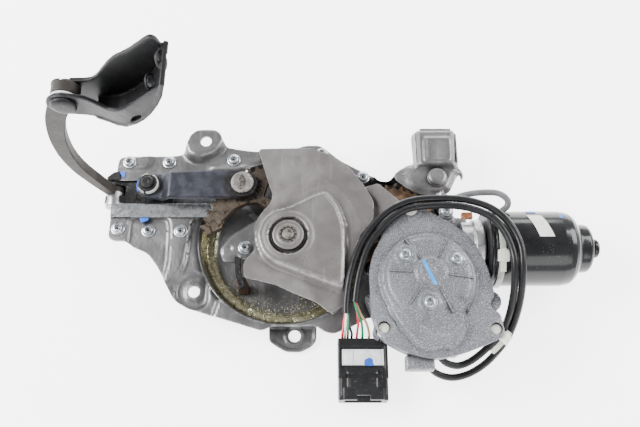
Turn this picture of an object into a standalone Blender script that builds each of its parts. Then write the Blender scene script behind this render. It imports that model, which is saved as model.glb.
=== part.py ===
"""Power tailgate drive unit: stamped base, geared motor, sector gear, slider-crank and lift arm.

The origin is on the sector gear's shaft axis, level with the surface the unit lies on.
+X runs from the slider towards the motor, +Z away from the surface. All constants are millimetres.
"""
import math

import bmesh
import bpy
from mathutils import Matrix, Vector

MM = 0.001

# ---- gear train: sector -> idler pinion, idler gear -> clutch pinion, worm -> worm wheel ----
SECTOR_MODULE = 2.2
SECTOR_TEETH = 64
SECTOR_FIRST, SECTOR_LAST = 0, 29      # tooth numbers left on the sector, counted from the idler
PINION_TEETH = 13
IDLER_ANGLE = math.radians(12)
IDLER_MODULE = 2.0
IDLER_TEETH = 36
OUTPUT_TEETH = 20
OUTPUT_ANGLE = math.radians(-65.17)
WHEEL_R = 22.4
WORM_R = 5.0
WORM_GAP = 0.2

SECTOR_R = SECTOR_MODULE * SECTOR_TEETH / 2
PINION_R = SECTOR_MODULE * PINION_TEETH / 2
IDLER_R = IDLER_MODULE * IDLER_TEETH / 2
OUTPUT_R = IDLER_MODULE * OUTPUT_TEETH / 2
IDLER_X = (SECTOR_R + PINION_R) * math.cos(IDLER_ANGLE)
IDLER_Y = (SECTOR_R + PINION_R) * math.sin(IDLER_ANGLE)
CLUTCH_X = IDLER_X + (IDLER_R + OUTPUT_R) * math.cos(OUTPUT_ANGLE)
CLUTCH_Y = IDLER_Y + (IDLER_R + OUTPUT_R) * math.sin(OUTPUT_ANGLE)
MOTOR_Y = CLUTCH_Y + WHEEL_R + WORM_R + WORM_GAP
MOTOR_Z = 31.0
MOTOR_START = 152.0
MOTOR_R = 29.5
TIE_X = 160.5
TIE_TURN = 28.0                        # degrees round the motor, from the top towards -Y

# ---- slider-crank ----
CRANK_X, CRANK_Y = -38.0, 48.0
STUD_X, RAIL_Y = -115.0, 49.0
ARM_X, ARM_Z = -146.0, 15.0            # pivot of the lift arm on the slider
GATE_X, GATE_Z = -135.0, 173.0         # pivot of the hinge bracket on the lift arm
ARM_THICK = 8.0

# ---- levels ----
SHEET = 2.0
FLANGE_TOP = 22.0
SECTOR_Z = (25.0, 31.0)
IDLER_Z = (12.0, 18.0)
LINK_LOW = 26.0
LINK_HIGH = 33.0
LINK_THICK = 5.0
COVER_Z = 41.5
COVER_THICK = 1.6
GAP = 0.35

# ---- cables: hand-laid points of the two sheathed runs ----
CABLE_D = 5.4
CABLE_A = [
    (112.0, -66.4, 29.0), (112.0, -83.0, 29.0), (113.5, -88.5, 27.5), (119.0, -93.5, 24.0),
    (128.0, -95.0, 20.5), (137.0, -92.0, 19.5), (145.5, -86.5, 21.5), (152.5, -80.5, 24.5),
    (159.0, -74.3, 28.0), (163.0, -67.5, 35.0), (165.0, -59.5, 44.5), (166.0, -50.5, 53.0),
    (166.3, -41.5, 60.0), (166.3, -29.5, 66.0), (165.0, -18.0, 67.5), (161.2, -7.0, 68.5),
    (155.5, 2.5, 68.5), (148.0, 9.5, 67.0), (138.0, 14.8, 64.5), (127.5, 17.8, 62.3),
    (114.3, 19.0, 60.5), (99.7, 18.0, 60.2), (89.9, 16.0, 59.0), (79.9, 10.5, 57.0),
    (69.8, 1.0, 54.5), (60.5, -12.0, 52.0), (54.8, -28.0, 49.5), (51.8, -42.0, 47.8),
    (50.4, -53.0, 46.5)]
CABLE_B = [
    (103.0, -66.4, 28.0), (103.0, -83.0, 28.0), (104.5, -92.0, 24.0), (111.0, -99.5, 18.5),
    (123.0, -103.0, 15.5), (136.0, -100.5, 15.0), (148.0, -94.0, 17.0), (157.0, -86.0, 21.0),
    (164.5, -77.0, 27.0), (168.7, -67.5, 36.0), (170.8, -58.0, 46.0), (171.7, -49.0, 54.5),
    (172.0, -40.0, 61.0), (172.0, -29.0, 66.3), (171.5, -16.5, 67.8), (167.4, -4.0, 68.5),
    (160.5, 6.5, 68.5), (152.0, 14.5, 67.0), (141.0, 20.3, 64.5), (129.0, 23.6, 62.3),
    (114.7, 24.9, 60.5), (99.0, 24.0, 60.0), (87.0, 21.2, 58.0), (75.2, 15.0, 55.5),
    (64.0, 3.8, 53.0), (54.8, -10.0, 51.5), (48.2, -28.0, 49.5), (45.2, -42.0, 48.0),
    (43.8, -54.0, 47.0), (43.6, -61.5, 46.4)]
WIRE_D = 1.8
WIRE_ENDS = [(43.0, "plastic_white"), (53.0, "red")]
CONNECTOR_X, CONNECTOR_Y, CONNECTOR_Z = 57.0, -98.0, 10.5
CONNECTOR_WIDTH, CONNECTOR_LENGTH, CONNECTOR_HEIGHT = 42.0, 48.0, 20.0


# =============================== modelling helpers ===============================

def clear_scene():
    for thing in list(bpy.data.objects):
        bpy.data.objects.remove(thing, do_unlink=True)


def material(name, colour, roughness, metallic):
    made = bpy.data.materials.new(name)
    made.use_nodes = True
    shader = made.node_tree.nodes["Principled BSDF"]
    shader.inputs["Base Color"].default_value = (*colour, 1.0)
    shader.inputs["Roughness"].default_value = roughness
    shader.inputs["Metallic"].default_value = metallic
    return made


FINISHES = {
    "stamped": ((0.42, 0.41, 0.41), 0.42, 0.9),
    "zinc": ((0.55, 0.58, 0.62), 0.3, 1.0),
    "cast": ((0.5, 0.5, 0.52), 0.6, 0.7),
    "black_steel": ((0.02, 0.02, 0.022), 0.3, 0.3),
    "link_steel": ((0.07, 0.07, 0.085), 0.45, 0.6),
    "brown_steel": ((0.16, 0.12, 0.09), 0.55, 0.7),
    "arm_steel": ((0.13, 0.115, 0.105), 0.55, 0.6),
    "plastic_black": ((0.015, 0.015, 0.016), 0.45, 0.0),
    "plastic_white": ((0.75, 0.75, 0.7), 0.5, 0.0),
    "bronze": ((0.5, 0.33, 0.15), 0.4, 1.0),
    "copper": ((0.6, 0.25, 0.12), 0.4, 1.0),
    "rubber": ((0.06, 0.03, 0.02), 0.8, 0.0),
    "red": ((0.5, 0.02, 0.02), 0.5, 0.0),
}


def finish(piece, name, look):
    """Give a piece its name and its own material."""
    piece.name = name
    piece.data.name = name
    piece.data.materials.clear()
    piece.data.materials.append(material(name, *FINISHES[look]))
    return piece


def new_object(bm, name="shape"):
    bmesh.ops.recalc_face_normals(bm, faces=bm.faces)
    mesh = bpy.data.meshes.new(name)
    bm.to_mesh(mesh)
    bm.free()
    made = bpy.data.objects.new(name, mesh)
    bpy.context.collection.objects.link(made)
    return made


def circle(x, y, radius, count=20, start=0.0):
    turn = 2 * math.pi / count
    return [(x + radius * math.cos(start + i * turn), y + radius * math.sin(start + i * turn))
            for i in range(count)]


def arc(x, y, radius, first, last, count):
    """Points on an arc, angles in degrees."""
    step = math.radians(last - first) / count
    begin = math.radians(first)
    return [(x + radius * math.cos(begin + i * step), y + radius * math.sin(begin + i * step))
            for i in range(count + 1)]


def rounded(points, radius, steps=2):
    """Round every corner of an outline with a quadratic curve that starts radius before it."""
    out = []
    count = len(points)
    for i, corner in enumerate(points):
        here = Vector(corner)
        before = Vector(points[i - 1]) - here
        after = Vector(points[(i + 1) % count]) - here
        reach = min(radius, before.length * 0.45, after.length * 0.45)
        a = here + before.normalized() * reach
        b = here + after.normalized() * reach
        for k in range(steps + 1):
            t = k / steps
            point = a * (1 - t) ** 2 + here * 2 * t * (1 - t) + b * t * t
            out.append((point.x, point.y))
    return out


def plate_mesh(outline, low, high, holes=()):
    """A flat plate with holes, between two levels in millimetres."""
    bm = bmesh.new()
    for loop in (outline, *holes):
        ring = [bm.verts.new((x * MM, y * MM, low * MM)) for x, y in loop]
        for i, vert in enumerate(ring):
            bm.edges.new((vert, ring[(i + 1) % len(ring)]))
    bmesh.ops.triangle_fill(bm, use_beauty=True, use_dissolve=False, edges=bm.edges[:])
    top = bmesh.ops.extrude_face_region(bm, geom=bm.faces[:])
    raised = [item for item in top["geom"] if isinstance(item, bmesh.types.BMVert)]
    bmesh.ops.translate(bm, verts=raised, vec=(0, 0, (high - low) * MM))
    return bm


def plate(outline, low, high, holes=()):
    return new_object(plate_mesh(outline, low, high, holes))


def box(x0, x1, y0, y1, z0, z1):
    return plate([(x0, y0), (x1, y0), (x1, y1), (x0, y1)], z0, z1)


def frustum(outline, low, high, draft):
    """A prism whose top outline is shrunk by draft towards its middle."""
    middle = Vector((sum(p[0] for p in outline), sum(p[1] for p in outline))) / len(outline)
    bm = plate_mesh(outline, low, high)
    for vert in bm.verts:
        if vert.co.z > (low + high) / 2 * MM:
            flat = Vector((vert.co.x / MM, vert.co.y / MM)) - middle
            flat *= (flat.length - draft) / flat.length
            vert.co.x = (middle.x + flat.x) * MM
            vert.co.y = (middle.y + flat.y) * MM
    return new_object(bm)


def turned(profile, count=20):
    """Turn a closed (radius, height) profile about Z; radius 0 closes on the axis."""
    bm = bmesh.new()
    rings = []
    for radius, height in profile:
        if radius == 0:
            rings.append([bm.verts.new((0, 0, height * MM))])
        else:
            rings.append([bm.verts.new((x * MM, y * MM, height * MM))
                          for x, y in circle(0, 0, radius, count)])
    for i, ring in enumerate(rings):
        following = rings[(i + 1) % len(rings)]
        for k in range(count):
            a, b = ring[k % len(ring)], ring[(k + 1) % len(ring)]
            c, d = following[(k + 1) % len(following)], following[k % len(following)]
            corners = list(dict.fromkeys((a, b, c, d)))
            if len(corners) > 2:
                bm.faces.new(corners)
    return new_object(bm)


def drum(radius, low, high, count=20, bore=0.0):
    if bore:
        return turned([(bore, low), (radius, low), (radius, high), (bore, high)], count)
    return turned([(0, low), (radius, low), (radius, high), (0, high)], count)


def moved(piece, x=0.0, y=0.0, z=0.0, turn=(0, 0, 0)):
    """Turn a shape about the origin (degrees), then shift it, in its mesh."""
    matrix = Matrix.Translation(Vector((x, y, z)) * MM)
    for axis, angle in zip("ZYX", reversed(turn)):
        matrix = matrix @ Matrix.Rotation(math.radians(angle), 4, axis)
    piece.data.transform(matrix)
    return piece


def along_x(piece, x, y, z):
    return moved(piece, x, y, z, (0, 90, 0))


def along_y(piece, x, y, z):
    return moved(piece, x, y, z, (90, 0, 0))


def boolean_mesh(first, second, how, solver):
    step = first.modifiers.new(how.lower(), "BOOLEAN")
    step.operation = how
    step.solver = solver
    step.object = second
    depsgraph = bpy.context.evaluated_depsgraph_get()
    depsgraph.update()
    result = bpy.data.meshes.new_from_object(first.evaluated_get(depsgraph))
    first.modifiers.clear()
    return result


def is_closed(mesh):
    bm = bmesh.new()
    bm.from_mesh(mesh)
    closed = all(edge.is_manifold for edge in bm.edges)
    closed = closed and bm.calc_volume(signed=True) > 0
    bm.free()
    return closed


def combine(first, second, how):
    """Apply one Boolean and drop the second shape; MANIFOLD stands in where EXACT leaves a gap."""
    result = boolean_mesh(first, second, how, "EXACT")
    if not is_closed(result):
        result = boolean_mesh(first, second, how, "MANIFOLD")
    first.data = result
    bpy.data.objects.remove(second, do_unlink=True)
    return first


def union(first, *others):
    for other in others:
        first = combine(first, other, "UNION")
    return first


def cut(first, *others):
    for other in others:
        first = combine(first, other, "DIFFERENCE")
    return first


def side_plate(outline, low_y, high_y, holes=()):
    """A plate standing in the XZ plane, between two Y levels; outline is (x, z)."""
    return moved(plate([(x, -z) for x, z in outline], low_y, high_y,
                       [[(x, -z) for x, z in hole] for hole in holes]), turn=(-90, 0, 0))


def set_pivot(empty_name, position, pieces):
    """Hang the pieces of a moving body on an empty that stands on its joint's axis."""
    empty = bpy.data.objects.new(empty_name, None)
    empty.location = Vector(position) * MM
    bpy.context.collection.objects.link(empty)
    bpy.context.view_layer.update()
    for piece in pieces:
        piece.parent = empty
        piece.matrix_parent_inverse = empty.matrix_world.inverted()


# =============================== gears ===============================

def tooth(module, teeth, number, phase):
    """Four corners of one tooth: root, tip, tip, root."""
    pitch_r = module * teeth / 2
    centre = phase + number * 2 * math.pi / teeth
    corners = []
    for radius, half in ((pitch_r - 1.05 * module, -0.95), (pitch_r + 0.8 * module, -0.3),
                         (pitch_r + 0.8 * module, 0.3), (pitch_r - 1.05 * module, 0.95)):
        angle = centre + half * module / radius
        corners.append((radius * math.cos(angle), radius * math.sin(angle)))
    return corners


def gear_outline(module, teeth, phase):
    return [point for i in range(teeth) for point in tooth(module, teeth, i, phase)]


def sector_outline():
    """Teeth round the idler side, a horn on the slider side, and the hub."""
    out = []
    for number in range(SECTOR_FIRST - 2, SECTOR_LAST):
        out += tooth(SECTOR_MODULE, SECTOR_TEETH, number, IDLER_ANGLE)
    end = IDLER_ANGLE + SECTOR_LAST * 2 * math.pi / SECTOR_TEETH
    out.append((66 * math.cos(end), 66 * math.sin(end)))
    out += [(-54, 12), (-51, 21), (-44, 29), (-35, 33.5), (-26, 34), (-18, 29)]
    out += arc(0, 0, 17, 130, 320, 14)
    out += [(32, -8), (58, -4)]
    return out


# =============================== frame ===============================

PAN_OUTLINE = [
    (-146, 7), (-141, 4), (-131, 4), (-126, 0), (-114, -5), (-104, -18), (-96, -33), (-90, -44),
    (-78, -50.5), (-46, -61), (-20, -68.8), (-13, -64.6), (22, -64.6), (27, -69), (34, -71),
    (48, -66), (62, -58), (84, -62), (106, -65),
    (128, -58), (138, -34), (134, -4), (130, 20), (128, 44), (136, 57), (136, 69), (97, 70),
    (86, 61), (69, 60), (41, 76), (25, 90), (12, 90), (2, 86), (-30, 84), (-44, 86), (-55, 89),
    (-58, 95), (-66, 100), (-77, 100), (-86, 95), (-89, 80), (-115, 79), (-144, 77), (-146, 68),
    (-146, 57.4), (-46, 57.4), (-46, 33), (-146, 33)]
SLOT_EDGE = 57.5                       # far edge of the slot in the sheet, over the slider
DISH_SLOT_END = -17.5
SHEET_LOW = FLANGE_TOP - SHEET - 0.3
TAB_HOLE = (-71.0, 90.0)
TAB_TOP = 30.0
BOX_TOP = 33.0
DISH = (-4.0, 6.0)
DISH_R = 70.0
LEFT_EAR = (-75.0, -36.5)
LOW_EAR = (4.5, -68.8)
FLANGE_SCREWS = [(-135, 73.5), (-102, 74), (-48, 76), (26, 82), (60, 60), (-139, 14.5), (-115, 14),
                 (-88, 12.5)]


def well(x, y, top_r, low_r, floor, top=FLANGE_TOP, count=30):
    return moved(turned([(0, floor), (low_r, floor), (top_r, top), (0, top)], count), x, y)


def build_base_pan():
    """Flat flange, a round dish under the sector and two wells under the gear train."""
    pan = plate(rounded(PAN_OUTLINE, 5), FLANGE_TOP - SHEET, FLANGE_TOP)
    pan = union(pan, well(*DISH, DISH_R, DISH_R - 4, 0, FLANGE_TOP - 0.5),
                well(IDLER_X, IDLER_Y, 45, 43, 6, FLANGE_TOP - 0.6),
                well(CLUTCH_X, CLUTCH_Y, 28, 27, 6.2, FLANGE_TOP - 0.7))
    tab = rounded([(-87, 76), (-87, 93), (-77, 99), (-66, 99), (-58, 94), (-56, 76)], 5)
    pan = union(pan, frustum(tab, FLANGE_TOP - 1, TAB_TOP, 3))
    inner_tab = rounded([(-84, 79), (-84, 92), (-76, 96), (-67, 96), (-61, 92), (-60, 79)], 4)
    pan = cut(pan, frustum(inner_tab, FLANGE_TOP - 5, TAB_TOP - SHEET, 3))
    ear = rounded([(-16, -56), (22, -56), (21.5, -73), (18, -77), (10, -81.5), (-2, -81.5), (-11.6, -76),
                   (-15.5, -73)], 3)
    pan = union(pan, plate(ear, 0.3, 2.8))
    pan = cut(pan, well(*DISH, DISH_R - 2, DISH_R - 6, SHEET, 23),
              well(IDLER_X, IDLER_Y, 43, 41, 8, 23.1), well(CLUTCH_X, CLUTCH_Y, 26, 25, 8.1, 23.2))
    channel = (-150, DISH_SLOT_END, RAIL_Y - 14.8)
    pan = cut(pan, box(*channel, SLOT_EDGE, 5.4, 40), box(*channel, RAIL_Y + 16.8, 5.3, SHEET_LOW))
    pan = union(pan, moved(drum(6, 1, 22), -35, -3))
    holes = [(TAB_HOLE, 4.6), (LEFT_EAR, 4.6), ((16, 84.5), 2.2), ((121, 58), 4.6)]
    for (x, y), radius in holes:
        pan = cut(pan, moved(drum(radius, -5, 40, 14), x, y))
    pan = cut(pan, moved(drum(4.6, -5, 15, 14), *LOW_EAR))
    for x, y in FLANGE_SCREWS:
        pan = cut(pan, moved(drum(2.6, 15, 25, 10), x, y))
    return finish(pan, "base_pan", "stamped")


def build_rail_channel():
    """Steel rail, open at the top, that the slider runs in: a near flange, and a far wall
    that ends under the sheet."""
    section = [(24, 22.3), (34.8, 22.3), (34.8, 6), (65.2, 6), (65.2, SHEET_LOW), (63.7, SHEET_LOW),
               (63.7, 7.5), (36.3, 7.5), (36.3, 23.8), (24, 23.8)]
    rail = plate(section, -146, -50)
    rail.data.transform(Matrix(((0, 0, 1, 0), (1, 0, 0, 0), (0, 1, 0, 0), (0, 0, 0, 1))))
    return finish(rail, "rail_channel", "zinc")


def build_side_bracket():
    """Raised box bracket on the frame's right arm, with the hooked lug."""
    foot = rounded([(92, 52), (105, 47), (131, 47), (136, 58), (136, 70), (104, 70)], 4)
    bracket = plate(foot, 22.3, 24.3)
    outside = rounded([(101, 66), (137.5, 66), (140, 103), (102.5, 103)], 4)
    bracket = union(bracket, frustum(outside, 22.35, BOX_TOP, 1.5))
    hollow = rounded([(103, 68), (135.5, 68), (138, 101), (104.5, 101)], 3)
    bracket = cut(bracket, frustum(hollow, 15, BOX_TOP - SHEET, 1.5))
    pad = rounded([(109, 68.6), (133, 68.6), (134.5, 93.5), (110.2, 93.5)], 3)
    bracket = union(bracket, frustum(pad, BOX_TOP - 1.5, BOX_TOP + 1.5, 1.5))
    bracket = cut(bracket, moved(drum(4.3, 20, 30, 16), 121, 58))
    return finish(bracket, "side_bracket", "stamped")


def build_gear_cover():
    """Stamped plate over the sector, raised round the hub, with a leg down to the pan and a front
    lip that ends just above the sector."""
    outline = rounded([
        (-26, 76), (16, 77), (33, 71), (48, 60), (60, 43), (67, 30), (66, 14), (56, 2), (47, -22),
        (43.5, -40), (44.5, -52), (33, -60.5), (22, -51.5), (6, -45), (-9, -38), (-25, -34), (-33, -33),
        (-34, -20), (-25, -11), (-27, 9), (-22, 19), (-14, 29), (-13, 35)], 5)
    cover = plate(outline, COVER_Z, COVER_Z + COVER_THICK)
    raised = rounded([
        (-24, 0), (-21, 12), (-12, 20.5), (0, 23), (21, 34), (29, 36), (39, 24), (44, 7), (44, -10),
        (42, -30), (39, -38), (15, -29), (-13, -19), (-20, -12)], 4)
    hollow = rounded([
        (-21, 0), (-18, 10), (-10, 17.5), (2, 20), (22, 31), (29, 32), (36, 23), (41, 6), (41, -10),
        (39, -29), (37, -34), (16, -26), (-12, -16), (-17, -10)], 4)
    cover = union(cover, frustum(raised, COVER_Z + 0.4, COVER_Z + 5, 2))
    cover = cut(cover, frustum(hollow, COVER_Z - 3, COVER_Z + 3.2, 2))
    rear_leg = [(-25, 74.5), (14, 75.5), (14, 77), (-25, 76)]
    front_lip = [(34, -59), (43.5, -51.2), (42.7, -49.8), (33, -57.5)]
    cover = union(cover, plate(rear_leg, FLANGE_TOP + GAP, COVER_Z + 0.5),
                  plate(front_lip, SECTOR_Z[1] + 2 * GAP, COVER_Z + 0.6))
    cover = cut(cover, moved(drum(8.2, 30, 60, 24), 0, 0))
    ring = turned([(15, COVER_Z + 4.5), (20, COVER_Z + 4.5), (19, COVER_Z + 6.5),
                   (16, COVER_Z + 6.5)], 24)
    cover = union(cover, ring)
    return finish(cover, "gear_cover", "stamped")


def build_main_shaft():
    shaft = turned([(0, 2.3), (13, 2.3), (13, 24.2), (7, 24.2), (7, COVER_Z + 4.8),
                    (4.6, COVER_Z + 4.8), (4.6, COVER_Z + 8.5), (4, COVER_Z + 9), (0, COVER_Z + 9)])
    return finish(shaft, "main_shaft", "zinc")


def build_hub_washer():
    top = COVER_Z + 5.3
    return finish(turned([(5, top), (13.4, top), (13.4, top + 1.8), (7.5, top + 1.8), (7, top + 2.8),
                          (5, top + 2.8)]), "hub_washer", "stamped")


def build_foot_plate():
    outline = rounded([(-29, 17), (-46, 8), (-54, -3), (-52, -13), (-41, -14), (-29, -8), (-24, 2)], 4)
    return finish(plate(outline, 22.4, 24.4, [circle(-35, -3, 2.6, 12)]), "foot_plate", "stamped")


def build_stop_lever():
    outline = rounded([(-42.5, -16), (-37.5, -16), (-36, -31), (-33, -37), (-38, -38), (-41, -31)], 2)
    return finish(plate(outline, 24.8, 31), "stop_lever", "black_steel")


def build_stop_bumper():
    bumper = turned([(0, 2.3), (4.5, 2.3), (4.5, 24), (4, 24.5), (0, 24.5)], 20)
    return finish(moved(bumper, -37, -31), "stop_bumper", "rubber")


def screw(head_r, head_h, shank_r, length, seat, sides=10):
    """Pan-head screw standing on Z, its seat at the given level."""
    return turned([(0, seat - length), (shank_r, seat - length), (shank_r, seat), (head_r, seat),
                   (head_r * 0.8, seat + head_h), (0, seat + head_h)], sides)


def build_flange_screws():
    for number, (x, y) in enumerate(FLANGE_SCREWS, 1):
        piece = moved(screw(5.2, 3.2, 2.2, 8, FLANGE_TOP + GAP), x, y)
        finish(piece, "flange_screw_%d" % number, "zinc")
    finish(moved(screw(5.2, 3.2, 2.2, 2, 24.4 + GAP), -35, -3), "foot_screw", "zinc")


def build_bracket_bolt():
    return finish(moved(screw(7.5, 4.5, 4, 4, 24.65, 16), 121, 58), "bracket_bolt", "stamped")


# =============================== sector, crank and link ===============================

def build_sector_gear():
    hole = rounded([(-22, 38), (-12, 36), (-10, 54), (-16, 58)], 3)
    gear = plate(sector_outline(), *SECTOR_Z, [circle(0, 0, 10.4, 24), hole,
                                              circle(CRANK_X, CRANK_Y, 5.4, 20)])
    return finish(gear, "sector_gear", "brown_steel")


def build_sector_bush():
    bush = turned([(7.3, 24.5), (10, 24.5), (10, 31.4), (12.5, 31.4), (12.5, 33.4), (7.3, 33.4)])
    return finish(bush, "sector_bush", "bronze")


def build_crank_pin():
    top = LINK_HIGH + LINK_THICK
    pin = turned([(0, 24.2), (5, 24.2), (5, 31.35), (8, 31.35), (8, 32.7), (5, 32.7), (5, top + 0.4),
                  (9.6, top + 0.4), (9.2, top + 2.4), (0, top + 2.8)], 24)
    return finish(moved(pin, CRANK_X, CRANK_Y), "crank_pin", "zinc")


def build_drive_link():
    """Flat bar with a step down to its octagonal slider end."""
    step = [(-128, LINK_LOW), (-103.5, LINK_LOW), (-97, LINK_HIGH), (-24, LINK_HIGH),
            (-24, LINK_HIGH + LINK_THICK), (-99, LINK_HIGH + LINK_THICK),
            (-105, LINK_LOW + LINK_THICK), (-128, LINK_LOW + LINK_THICK)]
    bar = side_plate(step, 30, 70)
    shape = rounded([(-120, 39), (-110, 39), (-106, 38), (-101, 36.5), (-38, 36), (-28, 39),
                     (-25.5, 48), (-28, 57), (-38, 60), (-101, 60), (-106, 59), (-110, 59),
                     (-120, 59), (-125, 54), (-125, 44)], 4)
    bar = combine(bar, plate(shape, 20, 45), "INTERSECT")
    bar = cut(bar, moved(drum(5.4, 20, 50, 20), CRANK_X, CRANK_Y),
              moved(drum(5.4, 20, 50, 20), STUD_X, RAIL_Y))
    return finish(bar, "drive_link", "link_steel")


def build_link_stud():
    stud = turned([(0, 24.2), (7.5, 24.2), (7.5, 25.6), (5, 25.6), (5, 38.5), (4.2, 39.3), (0, 39.3)], 20)
    return finish(moved(stud, STUD_X, RAIL_Y), "link_stud", "link_steel")


def build_link_nut():
    low = LINK_LOW + LINK_THICK + GAP
    nut = plate(circle(0, 0, 9.2, 6), low, low + 5, [circle(0, 0, 5.4, 20)])
    return finish(moved(nut, STUD_X, RAIL_Y), "link_nut", "link_steel")


# =============================== slider, arm and bracket ===============================

def build_slider_block():
    body = plate(rounded([(-137, 37), (-97, 37), (-97, 63), (-137, 63)], 2), 8, SHEET_LOW - GAP)
    cheek = rounded([(-154, 8.2), (-135, 8.2), (-135, 18.9), (-141, 21), (-146, 22), (-151, 21),
                     (-154, 18.5)], 2)
    near = side_plate(cheek, 38.4, 44.6)
    far = side_plate(cheek, 53.4, SLOT_EDGE - GAP)
    neck = moved(drum(7, 15, 23.9, 24), STUD_X, RAIL_Y)
    block = union(body, near, far, neck)
    block = cut(block, along_y(drum(4.3, -70, -30, 20), ARM_X, 0, ARM_Z))
    return finish(block, "slider_block", "zinc")


def build_arm_pin():
    pin = turned([(0, -60.6), (4, -60.6), (4, -38), (6.4, -38), (6, -36.6), (0, -36.6)], 20)
    return finish(along_y(pin, ARM_X, 0, ARM_Z), "arm_pin", "zinc")


ARM_MIDDLE = [(-146, 15), (-150, 27), (-155, 44), (-160, 64), (-162, 84), (-161, 104), (-157, 126),
              (-149, 149), (-135, 173)]
ARM_WIDTHS = [7, 8, 9, 9.6, 10.2, 11, 12, 13.5, 15]


def arm_outline():
    """Curved bar from the slider eye up to the bracket eye, wider towards the top."""
    left, right = [], []
    for i in range(1, len(ARM_MIDDLE) - 1):
        here = Vector(ARM_MIDDLE[i])
        along = Vector(ARM_MIDDLE[i + 1]) - Vector(ARM_MIDDLE[i - 1])
        side = along.normalized().orthogonal() * ARM_WIDTHS[i] / 2
        left.append(tuple(here + side))
        right.append(tuple(here - side))
    top = arc(GATE_X, GATE_Z, 9, 197, -77, 12)
    bottom = arc(ARM_X, ARM_Z, 7, 73, -217, 12)
    return left + top + right[::-1] + bottom


def build_lift_arm():
    holes = [circle(ARM_X, ARM_Z, 4.3), circle(GATE_X, GATE_Z, 5.3)]
    arm = side_plate(arm_outline(), RAIL_Y - ARM_THICK / 2, RAIL_Y + ARM_THICK / 2, holes)
    return finish(arm, "lift_arm", "arm_steel")


FAR_FLANGE = [
    (-139, 153), (-146, 166), (-146, 173), (-142, 177.5), (-131, 178), (-121, 178.5), (-116, 180),
    (-111, 186), (-103, 196), (-98, 200), (-90, 204.5), (-79, 214.5), (-75, 218), (-72, 218.8),
    (-69.5, 216.5), (-68, 210), (-65.6, 207), (-68, 198.8), (-72.6, 189.2), (-78.6, 179.2),
    (-84.6, 171.8), (-91.6, 165.8), (-98.6, 160.4), (-106, 155), (-116, 150.5), (-130, 149.5)]
NEAR_FLANGE = [
    (-141, 160.5), (-146.5, 166), (-147, 173), (-143.5, 179), (-136, 181.3), (-124.5, 180.5),
    (-117.4, 178), (-112.5, 175.8), (-106.8, 174.2), (-101.5, 176.2), (-96.2, 180.3), (-83.7, 192),
    (-74.3, 201), (-65.6, 208), (-66.2, 204), (-69.2, 198), (-74.2, 189.6), (-79.8, 180.2),
    (-84, 176.2), (-90, 174.6), (-98, 160.6), (-104, 157.9), (-112, 157.5), (-121, 158)]
BRACKET_WEB = [
    (-63.6, 210.5), (-65, 207), (-67.4, 198.4), (-72, 188.8), (-78, 178.8), (-84, 171.3),
    (-91, 165.2), (-98, 159.8), (-104, 157.2), (-112, 156.8), (-119, 157.2)]
BRACKET_HOLES = [(-67.5, 50.0, 205.0), (-78.5, 49.0, 183.0)]
BRACKET_SHEET = 3.0
NEAR_FACE = RAIL_Y - ARM_THICK / 2 - 1.6
FAR_FACE = RAIL_Y + ARM_THICK / 2 + 0.6
NEAR_FLARE, FAR_FLARE = 10.0, 3.0
WEB_LAP = 0.8


def strip(path, thickness):
    """Outline of a sheet seen edge-on: the path, and back again on its left."""
    back = []
    for i, point in enumerate(path):
        before, after = Vector(path[max(i - 1, 0)]), Vector(path[min(i + 1, len(path) - 1)])
        side = (after - before).normalized().orthogonal() * thickness
        back.append((point[0] - side.x, point[1] - side.y))
    return path + back[::-1]


def flared(piece):
    """Lean the two sides of the bracket apart, smoothly, from the pin end to the web end."""
    for vert in piece.data.vertices:
        t = min(max((vert.co.x / MM + 125) / 35, 0.0), 1.0)
        amount = -NEAR_FLARE if vert.co.y < RAIL_Y * MM else FAR_FLARE
        vert.co.y += amount * (3 * t * t - 2 * t ** 3) * MM
    return piece


def build_hinge_bracket():
    """U-shaped bracket: two flanges on the arm's eye, joined by a web with two bolt holes."""
    near = side_plate(rounded(NEAR_FLANGE, 3, 2), NEAR_FACE - BRACKET_SHEET, NEAR_FACE)
    far = side_plate(rounded(FAR_FLANGE, 3, 2), FAR_FACE, FAR_FACE + BRACKET_SHEET)
    web = side_plate(strip(BRACKET_WEB, BRACKET_SHEET), NEAR_FACE - BRACKET_SHEET - WEB_LAP,
                     FAR_FACE + BRACKET_SHEET + WEB_LAP)
    bracket = union(flared(far), flared(web), flared(near))
    for place in BRACKET_HOLES:
        bracket = cut(bracket, moved(drum(3.6, -14, 14, 20), *place, (0, 68, 0)))
    bracket = cut(bracket, along_y(drum(5.3, -70, -30, 20), GATE_X, 0, GATE_Z))
    return finish(bracket, "hinge_bracket", "black_steel")


def build_gate_pin():
    near = -(NEAR_FACE - BRACKET_SHEET) + GAP
    far = -(FAR_FACE + BRACKET_SHEET) - 1.5
    pin = turned([(0, far), (5, far), (5, near), (8.2, near), (7.8, near + 1.8), (5, near + 3),
                  (0, near + 3.2)], 28)
    return finish(along_y(pin, GATE_X, 0, GATE_Z), "gate_pin", "black_steel")


def build_pin_washer():
    low = -(RAIL_Y - ARM_THICK / 2) + 0.3
    return finish(along_y(drum(8.6, low, low + 1.0, 24, bore=5.4), GATE_X, 0, GATE_Z),
                  "pin_washer", "plastic_white")


# =============================== idler and clutch ===============================

def build_idler_gear():
    """Compound gear: the large gear below, the pinion that drives the sector above."""
    gear = plate(gear_outline(IDLER_MODULE, IDLER_TEETH, OUTPUT_ANGLE), *IDLER_Z)
    phase = IDLER_ANGLE + math.pi + math.pi / PINION_TEETH
    pinion = plate(gear_outline(SECTOR_MODULE, PINION_TEETH, phase), 24.6, 31.4)
    sleeve = drum(9, 11.6, 24.9, 24)
    gear = cut(union(gear, sleeve, pinion), drum(4.4, 0, 50, 20))
    return finish(moved(gear, IDLER_X, IDLER_Y), "idler_gear", "brown_steel")


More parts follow.
